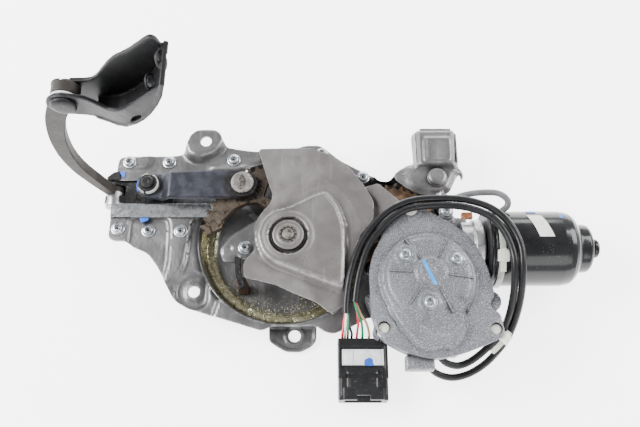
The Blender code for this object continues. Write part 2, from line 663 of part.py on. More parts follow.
def build_idler_pin():
    pin = turned([(0, 8.3), (7, 8.3), (7, 11.2), (4, 11.2), (4, 33), (3.4, 33.6), (0, 33.6)], 20)
    return finish(moved(pin, IDLER_X, IDLER_Y), "idler_pin", "zinc")


def build_output_shaft():
    """Clutch output shaft with its pinion cut on the lower end."""
    phase = OUTPUT_ANGLE + math.pi + math.pi / OUTPUT_TEETH
    shaft = turned([(0, 9), (5, 9), (5, 46.4), (4.5, 47), (0, 47)], 20)
    shaft = union(shaft, plate(gear_outline(IDLER_MODULE, OUTPUT_TEETH, phase), 11.5, 18.5))
    return finish(moved(shaft, CLUTCH_X, CLUTCH_Y), "output_shaft", "brown_steel")


def build_shaft_bearing():
    return finish(moved(drum(11, 19.4, 24.2, 28, bore=5.4), CLUTCH_X, CLUTCH_Y), "shaft_bearing", "zinc")


def build_worm_wheel():
    outline = [point for i in range(30) for point in (
        (20.9 * math.cos(i * math.pi / 15), 20.9 * math.sin(i * math.pi / 15)),
        (WHEEL_R * math.cos((i + 0.5) * math.pi / 15), WHEEL_R * math.sin((i + 0.5) * math.pi / 15)))]
    wheel = plate(outline, 27, 35, [circle(0, 0, 5.4, 20)])
    return finish(moved(wheel, CLUTCH_X, CLUTCH_Y), "worm_wheel", "plastic_white")


def build_clutch_plate():
    return finish(moved(drum(20, 35.4, 37.4, 24, bore=5.4), CLUTCH_X, CLUTCH_Y), "clutch_plate", "zinc")


def build_clutch_rotor():
    return finish(moved(drum(20, 37.8, 40.4, 24, bore=5.4), CLUTCH_X, CLUTCH_Y), "clutch_rotor", "zinc")


def build_clutch_coil():
    return finish(moved(drum(19.5, 41, 47.4, 24, bore=8), CLUTCH_X, CLUTCH_Y), "clutch_coil", "copper")


CASE_OUTLINE = [(87, 22), (95, 24.5), (102, 21), (123, 9), (136, -1), (145, -14), (150, -30), (153, -49),
                (149, -55), (150, -59), (156, -63), (158, -79), (147, -84), (129, -91), (113, -95),
                (101, -95), (86, -91), (70, -82), (62, -67), (61, -30), (64, -18), (73, 0)]
CASE_EARS = [(152, -74), (71, -73), (94, 19)]
COVER_SCREWS = [(88, -20), (126, -23), (104, -56)]
CASE_TOP = 48.0
COVER_TOP = 51.5
DOME_TOP = 57.0


def inset(outline, amount):
    """Shrink an outline towards its middle by about amount."""
    middle = Vector((sum(p[0] for p in outline), sum(p[1] for p in outline))) / len(outline)
    out = []
    for point in outline:
        flat = Vector(point) - middle
        flat *= (flat.length - amount) / flat.length
        out.append((middle.x + flat.x, middle.y + flat.y))
    return out


def build_gear_case():
    """Cast housing: clutch bowl, worm tunnel, motor flange and three legs on the pan."""
    rim = plate(rounded(inset(CASE_OUTLINE, 1.5), 5), 34, CASE_TOP)
    bowl = moved(turned([(0, 19), (15, 19), (15, 22.4), (28, 22.4), (28, 34.5), (0, 34.5)], 32),
                 CLUTCH_X, CLUTCH_Y)
    tunnel = along_x(drum(8.6, 99, 141, 24), 0, MOTOR_Y, MOTOR_Z)
    case = union(rim, bowl, tunnel)
    collar = along_x(drum(16.4, 139, MOTOR_START - GAP, 24), 0, MOTOR_Y, MOTOR_Z)
    case = union(case, collar)
    for x, y, low in ((70, -72, 24), (74, -53, 22.45), (128, -80, 0.4), (122, 9, 22.35)):
        case = union(case, moved(drum(6, low, 40, 20), x, y))
    case = cut(case, moved(drum(24, 25, 60, 28), CLUTCH_X, CLUTCH_Y),
               moved(drum(11.35, 19.2 - 5, 30, 28), CLUTCH_X, CLUTCH_Y),
               along_x(drum(6.6, 102, 160, 24), 0, MOTOR_Y, MOTOR_Z))
    for x, y in CASE_EARS:
        case = cut(case, moved(drum(4.5, -5, 60, 20), x, y))
    return finish(case, "gear_case", "cast")


def build_clutch_cover():
    """Cast cover over the clutch, with the raised round dome and its lobe."""
    cover = plate(rounded(CASE_OUTLINE, 5), CASE_TOP + GAP, COVER_TOP)
    dome = frustum(circle(CLUTCH_X - 1, CLUTCH_Y - 2, 37, 32), COVER_TOP - 1, DOME_TOP, 2.5)
    lobe = frustum(rounded([(72, -55), (97, -91), (123, -89), (131, -68), (134, -50), (100, -40)], 8, 4),
                   COVER_TOP - 0.9, DOME_TOP - 0.4, 2)
    cover = union(cover, dome, lobe)
    cover = union(cover, moved(drum(10.5, DOME_TOP - 1, DOME_TOP + 1.6, 28), CLUTCH_X, CLUTCH_Y))
    for angle in (125, 62, 178, 352, 235, 295):
        rib = moved(box(9.5, 30, -0.8, 0.8, DOME_TOP - 1.1, DOME_TOP + 1.0), turn=(0, 0, angle))
        cover = union(cover, moved(rib, CLUTCH_X, CLUTCH_Y))
    cover = cut(cover, moved(drum(30, CASE_TOP - 3, DOME_TOP - 3, 28), CLUTCH_X - 1, CLUTCH_Y - 2))
    for x, y in CASE_EARS:
        cover = cut(cover, moved(drum(4.5, -5, 80, 20), x, y))
    for x, y in COVER_SCREWS:
        cover = cut(cover, moved(drum(2.6, 40, 70, 12), x, y))
    return finish(cover, "clutch_cover", "cast")


def build_cover_screws():
    for number, (x, y) in enumerate(COVER_SCREWS, 1):
        piece = moved(screw(4.4, 2.6, 2.2, 4, DOME_TOP + GAP), x, y)
        finish(piece, "cover_screw_%d" % number, "zinc")


# =============================== motor ===============================

def build_motor_can():
    """Drawn steel can, open towards the gear case, with the bearing boss at its far end."""
    near, inside = MOTOR_START + 1.6, MOTOR_R - SHEET
    profile = [(MOTOR_R, near), (MOTOR_R, 212), (inside, 219), (23, 224), (18, 225.5), (17.5, 232),
               (15, 234.5), (8, 235.5), (7.5, 241), (6, 242.5), (0, 242.5), (0, 236), (15.5, 224),
               (22, 221.5), (inside, 211), (inside, near)]
    return finish(along_x(turned(profile[::-1], 32), 0, MOTOR_Y, MOTOR_Z), "motor_can", "black_steel")


def build_brush_carrier():
    near = MOTOR_START
    cap = turned([(6.8, near), (28, near), (MOTOR_R, near + 1.2), (27.1, near + 1.25),
                  (27.1, near + 4), (6.8, near + 4)], 28)
    return finish(along_x(cap, 0, MOTOR_Y, MOTOR_Z), "brush_carrier", "plastic_black")


def build_motor_shaft():
    shaft = turned([(0, 103), (2.6, 103), (2.6, 228), (0, 228)], 16)
    return finish(along_x(shaft, 0, MOTOR_Y, MOTOR_Z), "motor_shaft", "zinc")


def build_worm():
    rings = []
    for i in range(4):
        x = 104.5 + i * 5
        rings += [(3.6, x), (WORM_R, x + 1.4), (WORM_R, x + 2.4), (3.6, x + 3.8)]
    profile = [(2.9, 104)] + rings + [(2.9, 124)]
    return finish(along_x(turned(profile, 12), 0, MOTOR_Y, MOTOR_Z), "worm", "zinc")


def build_armature_core():
    return finish(along_x(drum(22, 172, 207, 20, bore=2.9), 0, MOTOR_Y, MOTOR_Z),
                  "armature_core", "copper")


def build_commutator():
    return finish(along_x(drum(10, 158, 169, 24, bore=2.9), 0, MOTOR_Y, MOTOR_Z),
                  "commutator", "copper")


def build_magnets():
    return finish(along_x(drum(27.1, 170, 209, 24, bore=22.9), 0, MOTOR_Y, MOTOR_Z),
                  "ring_magnet", "rubber")


# =============================== harness ===============================

def smooth_route(points, spacing):
    """Even points along a Catmull-Rom curve through the route's own points."""
    route = [Vector(p) for p in points]
    fine = []
    for i in range(len(route) - 1):
        a = route[max(i - 1, 0)]
        b, c = route[i], route[i + 1]
        d = route[min(i + 2, len(route) - 1)]
        for k in range(12):
            t = k / 12
            fine.append(0.5 * (2 * b + (c - a) * t + (2 * a - 5 * b + 4 * c - d) * t * t
                               + (3 * b - a - 3 * c + d) * t ** 3))
    fine.append(route[-1])
    out = [fine[0]]
    run = 0.0
    for before, after in zip(fine, fine[1:]):
        run += (after - before).length
        if run >= spacing:
            out.append(after)
            run = 0.0
    if (out[-1] - fine[-1]).length < spacing * 0.5:
        out.pop()
    return out + [fine[-1]]


def tube(name, points, diameter, look, resolution=2, spacing=None):
    curve = bpy.data.curves.new(name, "CURVE")
    curve.dimensions = "3D"
    curve.bevel_depth = diameter / 2 * MM
    curve.bevel_resolution = resolution
    curve.use_fill_caps = True
    route = smooth_route(points, spacing or diameter * 3)
    spline = curve.splines.new("POLY")
    spline.points.add(len(route) - 1)
    for target, point in zip(spline.points, route):
        target.co = (*(point * MM), 1.0)
    curve.materials.append(material(name, *FINISHES[look]))
    made = bpy.data.objects.new(name, curve)
    bpy.context.collection.objects.link(made)
    return made


def wire_route(cable, end_x):
    """One bare wire from a sheath's mouth into the connector's back."""
    x, y, z = cable[-1]
    back = CONNECTOR_Y + CONNECTOR_LENGTH / 2
    drop = z - CONNECTOR_Z
    return [(x, y - 0.5, z), (x, y - 2.5, z - 1), ((x + end_x) / 2, y - 5, z - drop * 0.3),
            (end_x, back + 3.5, z - drop * 0.75), (end_x, back + 1.4, CONNECTOR_Z)]


def build_harness():
    pieces = [tube("cable_a", CABLE_A, CABLE_D, "plastic_black"),
              tube("cable_b", CABLE_B, CABLE_D, "plastic_black")]
    for number, (cable, (x, look)) in enumerate(zip((CABLE_B, CABLE_A), WIRE_ENDS), 1):
        pieces.append(tube("wire_%d" % number, wire_route(cable, x), WIRE_D, look, 2, 3.0))
    return pieces


def build_connector():
    x, y, z = CONNECTOR_X, CONNECTOR_Y, CONNECTOR_Z
    half, reach, rise = CONNECTOR_WIDTH / 2, CONNECTOR_LENGTH / 2, CONNECTOR_HEIGHT / 2
    shell = box(x - half, x + half, y - reach, y + reach, z - rise, z + rise)
    mouth = box(x - half + 3, x + half - 3, y - reach - 5, y - 6, z - rise + 3, z + rise - 3)
    slot = box(x - half + 2.5, x + half - 2.5, y + 2, y + 12, z + rise - 2.5, z + rise + 5)
    shell = cut(shell, mouth, slot)
    return finish(shell, "connector_housing", "plastic_black")


def build_connector_lock():
    x, y, z = CONNECTOR_X, CONNECTOR_Y, CONNECTOR_Z
    lock = box(x - 18, x + 18, y + 2.4, y + 11.6, z + 7.9, z + 11.4)
    return finish(lock, "connector_lock", "plastic_white")


def build_cable_gland():
    """Rubber grommet on the clutch bowl that both sheathed cables come out of."""
    block = side_plate(rounded([(96.5, 23), (118.5, 23), (118.5, 33), (96.5, 33)], 3), -74, -61.7)
    for x, y, z in (CABLE_A[0], CABLE_B[0]):
        block = cut(block, along_y(drum(CABLE_D / 2 + GAP, 66, 90, 20), x, 0, z))
    return finish(block, "cable_gland", "rubber")


def build_motor_tie():
    """Cable tie pulled tight round the motor, its square head on top."""
    inner = MOTOR_R + GAP
    band = along_x(turned([(inner, -2.2), (inner + 1.2, -2.2), (inner + 1.2, 2.2), (inner, 2.2)], 32),
                   0, 0, 0)
    head = box(-3.2, 3.2, -3.5, 3.5, inner - 0.2, inner + 5)
    tie = moved(union(band, head), turn=(TIE_TURN, 0, 0))
    return finish(moved(tie, TIE_X, MOTOR_Y, MOTOR_Z), "motor_tie", "plastic_white")


# =============================== assembly ===============================

def main():
    clear_scene()
    build_base_pan()
    build_rail_channel()
    build_side_bracket()
    build_gear_cover()
    build_main_shaft()
    build_hub_washer()
    build_foot_plate()
    build_stop_lever()
    build_stop_bumper()
    build_flange_screws()
    build_bracket_bolt()
    build_idler_pin()
    build_shaft_bearing()
    build_clutch_coil()
    build_gear_case()
    build_clutch_cover()
    build_cover_screws()
    build_motor_can()
    build_brush_carrier()
    build_magnets()
    build_harness()
    build_connector()
    build_connector_lock()
    build_cable_gland()
    build_motor_tie()
    set_pivot("sector_axis", (0, 0, 25),
              [build_sector_gear(), build_sector_bush(), build_crank_pin()])
    set_pivot("link_axis", (CRANK_X, CRANK_Y, LINK_HIGH),
              [build_drive_link(), build_link_stud(), build_link_nut()])
    set_pivot("slider_origin", (STUD_X, RAIL_Y, 14), [build_slider_block(), build_arm_pin()])
    set_pivot("arm_axis", (ARM_X, RAIL_Y, ARM_Z), [build_lift_arm(), build_pin_washer()])
    set_pivot("gate_axis", (GATE_X, RAIL_Y, GATE_Z), [build_hinge_bracket(), build_gate_pin()])
    set_pivot("idler_axis", (IDLER_X, IDLER_Y, 12), [build_idler_gear()])
    set_pivot("output_axis", (CLUTCH_X, CLUTCH_Y, 12),
              [build_output_shaft(), build_clutch_rotor()])
    set_pivot("worm_wheel_axis", (CLUTCH_X, CLUTCH_Y, 30), [build_worm_wheel(), build_clutch_plate()])
    set_pivot("motor_axis", (150, MOTOR_Y, MOTOR_Z),
              [build_motor_shaft(), build_worm(), build_armature_core(), build_commutator()])


main()
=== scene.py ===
"""Looks for the power tailgate drive unit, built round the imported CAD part.

Lengths are millimetres here and metres in every mesh. +X runs from the slider towards the motor,
+Z away from the surface, and the origin is on the sector gear's shaft axis.
"""
import math
import random

import bmesh
import bpy
import numpy as np
from mathutils import Matrix, Vector


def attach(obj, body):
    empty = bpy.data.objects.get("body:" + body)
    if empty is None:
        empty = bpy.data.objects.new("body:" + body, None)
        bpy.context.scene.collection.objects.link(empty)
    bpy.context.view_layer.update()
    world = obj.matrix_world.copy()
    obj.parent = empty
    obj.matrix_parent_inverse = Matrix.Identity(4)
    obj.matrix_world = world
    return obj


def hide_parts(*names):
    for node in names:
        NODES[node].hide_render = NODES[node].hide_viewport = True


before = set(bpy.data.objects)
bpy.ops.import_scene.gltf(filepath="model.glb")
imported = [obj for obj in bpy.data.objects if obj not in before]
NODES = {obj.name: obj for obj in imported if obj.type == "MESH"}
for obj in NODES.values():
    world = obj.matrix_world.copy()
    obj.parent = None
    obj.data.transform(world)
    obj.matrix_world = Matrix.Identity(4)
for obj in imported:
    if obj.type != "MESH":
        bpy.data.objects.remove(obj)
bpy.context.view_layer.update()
MM = 0.001

# ---- places shared with the CAD source ----
IDLER = (82.849, 17.610)
CLUTCH = (106.365, -33.213)
MOTOR_Y, MOTOR_Z, MOTOR_START = -5.613, 31.0, 152.0
CRANK = (-38.0, 48.0)
STUD = (-115.0, 49.0)
RAIL_Y = 49.0
ARM_PIVOT = (-146.0, 15.0)             # (x, z) of the lift arm on the slider
GATE_PIVOT = (-135.0, 173.0)           # (x, z) of the hinge bracket on the arm
FOOT_SCREW = (-35.0, -3.0)
STOP = (-37.0, -31.0)
DISH = (-4.0, 6.0)
DISH_RIM, DISH_FLOOR = 70.0, 2.0
FLANGE_TOP = 22.0
CASE_TOP, DOME_TOP = 48.35, 57.0
CAN_R = 29.5
TIE_X, TIE_TURN = 160.5, 28.0
CONNECTOR = (57.0, -98.0, 10.5)
FLANGE_SCREWS = [
    (-135, 73.5), (-102, 74), (-48, 76), (26, 82), (60, 60), (-139, 14.5), (-115, 14), (-88, 12.5)]
COVER_SCREWS = [(88, -20), (126, -23), (104, -56)]
CASE_EARS = [(152, -74), (71, -73), (94, 19)]
LOW_EAR = (4.5, -68.8)
LEFT_EAR = (-75.0, -36.5)
TAB_HOLE = (-71.0, 90.0)
BOLT = (121.0, 58.0)

CABLE_D = 5.4
CABLE_A = [
    (112.0, -66.4, 29.0), (112.0, -83.0, 29.0), (113.5, -88.5, 27.5), (119.0, -93.5, 24.0),
    (128.0, -95.0, 20.5), (137.0, -92.0, 19.5), (145.5, -86.5, 21.5), (152.5, -80.5, 24.5),
    (159.0, -74.3, 28.0), (163.0, -67.5, 35.0), (165.0, -59.5, 44.5), (166.0, -50.5, 53.0),
    (166.3, -41.5, 60.0), (166.3, -29.5, 66.0), (165.0, -18.0, 67.5), (161.2, -7.0, 68.5),
    (155.5, 2.5, 68.5), (148.0, 9.5, 67.0), (138.0, 14.8, 64.5), (127.5, 17.8, 62.3),
    (114.3, 19.0, 60.5), (99.7, 18.0, 60.2), (89.9, 16.0, 59.0), (79.9, 10.5, 57.0),
    (69.8, 1.0, 54.5), (60.5, -12.0, 52.0), (54.8, -28.0, 49.5), (51.8, -42.0, 47.8),
    (50.4, -53.0, 46.5)]
CABLE_B = [
    (103.0, -66.4, 28.0), (103.0, -83.0, 28.0), (104.5, -92.0, 24.0), (111.0, -99.5, 18.5),
    (123.0, -103.0, 15.5), (136.0, -100.5, 15.0), (148.0, -94.0, 17.0), (157.0, -86.0, 21.0),
    (164.5, -77.0, 27.0), (168.7, -67.5, 36.0), (170.8, -58.0, 46.0), (171.7, -49.0, 54.5),
    (172.0, -40.0, 61.0), (172.0, -29.0, 66.3), (171.5, -16.5, 67.8), (167.4, -4.0, 68.5),
    (160.5, 6.5, 68.5), (152.0, 14.5, 67.0), (141.0, 20.3, 64.5), (129.0, 23.6, 62.3),
    (114.7, 24.9, 60.5), (99.0, 24.0, 60.0), (87.0, 21.2, 58.0), (75.2, 15.0, 55.5),
    (64.0, 3.8, 53.0), (54.8, -10.0, 51.5), (48.2, -28.0, 49.5), (45.2, -42.0, 48.0),
    (43.8, -54.0, 47.0), (43.6, -61.5, 46.4)]
LEADS = [
    (131.5, 33.5, 40.5), (139.6, 34.9, 44), (148, 35.2, 47), (157.5, 34.3, 50), (164.4, 32.1, 52),
    (169.7, 27.3, 52), (169.7, 22.6, 50), (165.4, 19.4, 48)]


# =============================== outlines ===============================

def circle(x, y, radius, count=48, start=0.0):
    turn = 2 * math.pi / count
    return [(x + radius * math.cos(start + i * turn), y + radius * math.sin(start + i * turn))
            for i in range(count)]


def arc(x, y, radius, first, last, count):
    """Points on an arc, angles in degrees."""
    angles = np.radians(np.linspace(first, last, count + 1))
    return [(x + radius * math.cos(a), y + radius * math.sin(a)) for a in angles]


def rounded(points, radius, steps=6, closed=True):
    """Round the corners of an outline with quadratic curves that start radius before each."""
    out = []
    count = len(points)
    for i, corner in enumerate(points):
        if not closed and i in (0, count - 1):
            out.append(tuple(corner))
            continue
        here = Vector(corner)
        before = Vector(points[i - 1]) - here
        after = Vector(points[(i + 1) % count]) - here
        reach = min(radius, before.length * 0.45, after.length * 0.45)
        a = here + before.normalized() * reach
        b = here + after.normalized() * reach
        for k in range(steps + 1):
            t = k / steps
            out.append(tuple(a * (1 - t) ** 2 + here * 2 * t * (1 - t) + b * t * t))
    return out


def smooth_path(points, steps=10):
    """Catmull-Rom curve through points."""
    route = [Vector(p) for p in points]
    out = []
    for i in range(len(route) - 1):
        a, b = route[max(i - 1, 0)], route[i]
        c, d = route[i + 1], route[min(i + 2, len(route) - 1)]
        for k in range(steps):
            t = k / steps
            out.append(0.5 * (2 * b + (c - a) * t + (2 * a - 5 * b + 4 * c - d) * t * t
                              + (3 * b - a - 3 * c + d) * t ** 3))
    return out + [route[-1]]


def away(points, loop):
    """Signed distance of each point from a closed outline, positive inside."""
    loop = np.array(loop, float)
    points = np.array(points, float)
    best = np.full(len(points), 1e9)
    inside = np.zeros(len(points), bool)
    for a, b in zip(loop, np.roll(loop, -1, axis=0)):
        edge = b - a
        t = np.clip(((points - a) @ edge) / max(edge @ edge, 1e-9), 0, 1)
        best = np.minimum(best, np.linalg.norm(points - a - t[:, None] * edge, axis=1))
        crosses = (a[1] > points[:, 1]) != (b[1] > points[:, 1])
        rise = b[1] - a[1] if abs(b[1] - a[1]) > 1e-9 else 1e-9
        inside ^= crosses & (points[:, 0] < (points[:, 1] - a[1]) / rise * edge[0] + a[0])
    return np.where(inside, best, -best)


def ease(values, low, high):
    """0 at low, 1 at high and smooth between; low may be the larger."""
    t = np.clip((np.asarray(values, float) - low) / (high - low), 0, 1)
    return t * t * (3 - 2 * t)


def span(points, x, y):
    """Distance of each point from a centre."""
    return np.hypot(points[:, 0] - x, points[:, 1] - y)


def within(points, outline, corner, low, high):
    """Share of each point inside an outline with rounded corners, eased from depth low to high."""
    return ease(away(points, rounded(outline, corner)), low, high)


def near(points, centre, far, close):
    """Share of each point about a centre, eased from distance far to close."""
    return ease(span(points, *centre), far, close)


# =============================== meshes ===============================

def made(bm, name, crease=38):
    """A smooth-shaded object from a bmesh, with edges over crease degrees kept sharp."""
    bmesh.ops.recalc_face_normals(bm, faces=bm.faces)
    mesh = bpy.data.meshes.new(name)
    bm.to_mesh(mesh)
    bm.free()
    mesh.shade_smooth()
    mesh.set_sharp_from_angle(angle=math.radians(crease))
    piece = bpy.data.objects.new(name, mesh)
    bpy.context.collection.objects.link(piece)
    return piece


def moved(piece, x=0.0, y=0.0, z=0.0, turn=(0, 0, 0)):
    """Turn a shape about the origin (degrees), then shift it, in its mesh."""
    matrix = Matrix.Translation(Vector((x, y, z)) * MM)
    for axis, angle in zip("ZYX", reversed(turn)):
        matrix = matrix @ Matrix.Rotation(math.radians(angle), 4, axis)
    piece.data.transform(matrix)
    return piece


def joined(first, *others):
    """Add the other shapes' faces to the first one's mesh."""
    bm = bmesh.new()
    for shape in (first, *others):
        bm.from_mesh(shape.data)
    bm.to_mesh(first.data)
    bm.free()
    for shape in others:
        bpy.data.objects.remove(shape)
    return first


def filled(loops):
    """Flat faces between an outline and its holes."""
    bm = bmesh.new()
    for loop in loops:
        ring = [bm.verts.new((x * MM, y * MM, 0)) for x, y in loop]
        for i, vert in enumerate(ring):
            bm.edges.new((vert, ring[(i + 1) % len(ring)]))
    bmesh.ops.triangle_fill(bm, use_beauty=True, use_dissolve=False, edges=bm.edges[:])
    return bm


def thickened(bm):
    """Give a sheet a second side and walls round its edges; returns the second side's corners."""
    lower = bmesh.ops.extrude_face_region(bm, geom=bm.faces[:], use_keep_orig=True)
    return [item for item in lower["geom"] if isinstance(item, bmesh.types.BMVert)]


def slab(name, outline, low, high, holes=(), edge=0.5, segments=3):
    """A flat plate whose edges are rounded."""
    bm = filled([outline, *holes])
    for vert in thickened(bm):
        vert.co.z = (high - low) * MM
    for vert in bm.verts:
        vert.co.z += low * MM
    bmesh.ops.recalc_face_normals(bm, faces=bm.faces)
    sharp = [e for e in bm.edges if len(e.link_faces) == 2 and abs(e.calc_face_angle(0)) > 0.9
             and abs(e.verts[0].co.z - e.verts[1].co.z) < 1e-7]
    bmesh.ops.bevel(bm, geom=sharp, offset=edge * MM, segments=segments, affect="EDGES", profile=0.5,
                    clamp_overlap=True)
    return weighted(made(bm, name, 50))


def weighted(piece):
    piece.modifiers.new("flat_faces", "WEIGHTED_NORMAL").keep_sharp = True
    return piece


def pressed(name, outline, height, step, holes=(), thickness=2.0, base=None):
    """Sheet metal or a cast top: an outline split into a grid, its points raised to height(points)."""
    bm = filled([outline, *holes])
    bmesh.ops.dissolve_limit(bm, angle_limit=0.01, verts=bm.verts[:], edges=bm.edges[:],
                             use_dissolve_boundaries=False)
    corners = np.array(outline)
    for axis, normal in ((0, (1, 0, 0)), (1, (0, 1, 0))):
        for place in np.arange(corners[:, axis].min() + step / 2, corners[:, axis].max(), step):
            point = [0, 0, 0]
            point[axis] = place * MM
            bmesh.ops.bisect_plane(bm, geom=bm.verts[:] + bm.edges[:] + bm.faces[:], dist=1e-6,
                                   plane_co=point, plane_no=normal)
    bm.verts.ensure_lookup_table()
    flat = np.array([(v.co.x / MM, v.co.y / MM) for v in bm.verts])
    for vert, level in zip(bm.verts, height(flat)):
        vert.co.z = level * MM
    for vert in thickened(bm):
        vert.co.z = base * MM if base is not None else vert.co.z - thickness * MM
    return made(bm, name, 55)


def lathe(name, profile, count=56, soft=0.4, star=None):
    """Turn a (radius, height) profile about Z. star = (lobes, depth) shapes rings marked as third item."""
    plain = [(p[0], p[1]) for p in profile]
    marks = [len(p) > 2 for p in profile]
    if not any(marks):
        plain = rounded(plain, soft, 3, closed=False)
        marks = [False] * len(plain)
    bm = bmesh.new()
    rings = []
    for (radius, height), marked in zip(plain, marks):
        if radius <= 0:
            rings.append([bm.verts.new((0, 0, height * MM))])
            continue
        ring = []
        for k in range(count):
            angle = 2 * math.pi * k / count
            reach = radius * (1 + star[1] * math.cos(star[0] * angle)) if marked else radius
            ring.append(bm.verts.new((reach * math.cos(angle) * MM, reach * math.sin(angle) * MM,
                                      height * MM)))
        rings.append(ring)
    pairs = list(zip(rings, rings[1:]))
    if profile[0][0] > 0:
        pairs.append((rings[-1], rings[0]))
    for ring, after in pairs:
        for k in range(count):
            a, b = ring[k % len(ring)], ring[(k + 1) % len(ring)]
            c, d = after[(k + 1) % len(after)], after[k % len(after)]
            corners = list(dict.fromkeys((a, b, c, d)))
            if len(corners) > 2:
                bm.faces.new(corners)
    return made(bm, name)


def along_x(piece, x=0.0, y=0.0, z=0.0):
    return moved(piece, x, y, z, (0, 90, 0))


def along_y(piece, x=0.0, y=0.0, z=0.0):
    return moved(piece, x, y, z, (90, 0, 0))


def stood_up(piece):
    """Stand a flat shape in the XZ plane: its y becomes z, and its height becomes y."""
    piece.data.transform(Matrix(((1, 0, 0, 0), (0, 0, 1, 0), (0, 1, 0, 0), (0, 0, 0, 1))))
    piece.data.flip_normals()
    return piece


def block(name, x0, x1, y0, y1, z0, z1, edge=0.5):
    return slab(name, [(x0, y0), (x1, y0), (x1, y1), (x0, y1)], z0, z1, edge=edge)


def tube(name, points, diameter, steps=8, resolution=5):
    """A round cord along a smooth curve, as a curve of one spline."""
    curve = bpy.data.curves.new(name, "CURVE")
    curve.dimensions = "3D"
    curve.bevel_depth = diameter / 2 * MM
    curve.bevel_resolution = resolution
    curve.use_fill_caps = True
    route = smooth_path(points, steps)
    spline = curve.splines.new("POLY")
    spline.points.add(len(route) - 1)
    for target, point in zip(spline.points, route):
        target.co = (*(point * MM), 1.0)
    spline.use_smooth = True
    piece = bpy.data.objects.new(name, curve)
    bpy.context.collection.objects.link(piece)
    return piece


def applied(piece):
    """Put a piece's modifiers into its mesh."""
    depsgraph = bpy.context.evaluated_depsgraph_get()
    depsgraph.update()
    mesh = bpy.data.meshes.new_from_object(piece.evaluated_get(depsgraph))
    piece.modifiers.clear()
    piece.data = mesh
    return piece


def melted(piece, voxel, passes):
    """Fuse overlapping shapes into one skin with soft edges."""
    remesh = piece.modifiers.new("remesh", "REMESH")
    remesh.mode = "VOXEL"
    remesh.voxel_size = voxel * MM
    smooth = piece.modifiers.new("smooth", "SMOOTH")
    smooth.factor = 0.5
    smooth.iterations = passes
    applied(piece).data.shade_smooth()
    return piece


def softened(name, node, voxel, passes, extra=()):
    """A copy of a CAD node whose edges a fine remesh has rounded, extra shapes melted into it."""
    copy = bpy.data.objects.new(name, NODES[node].data.copy())
    bpy.context.collection.objects.link(copy)
    copy.data.materials.clear()
    if extra:
        joined(copy, *extra)
    return melted(copy, voxel, passes)


# =============================== materials ===============================

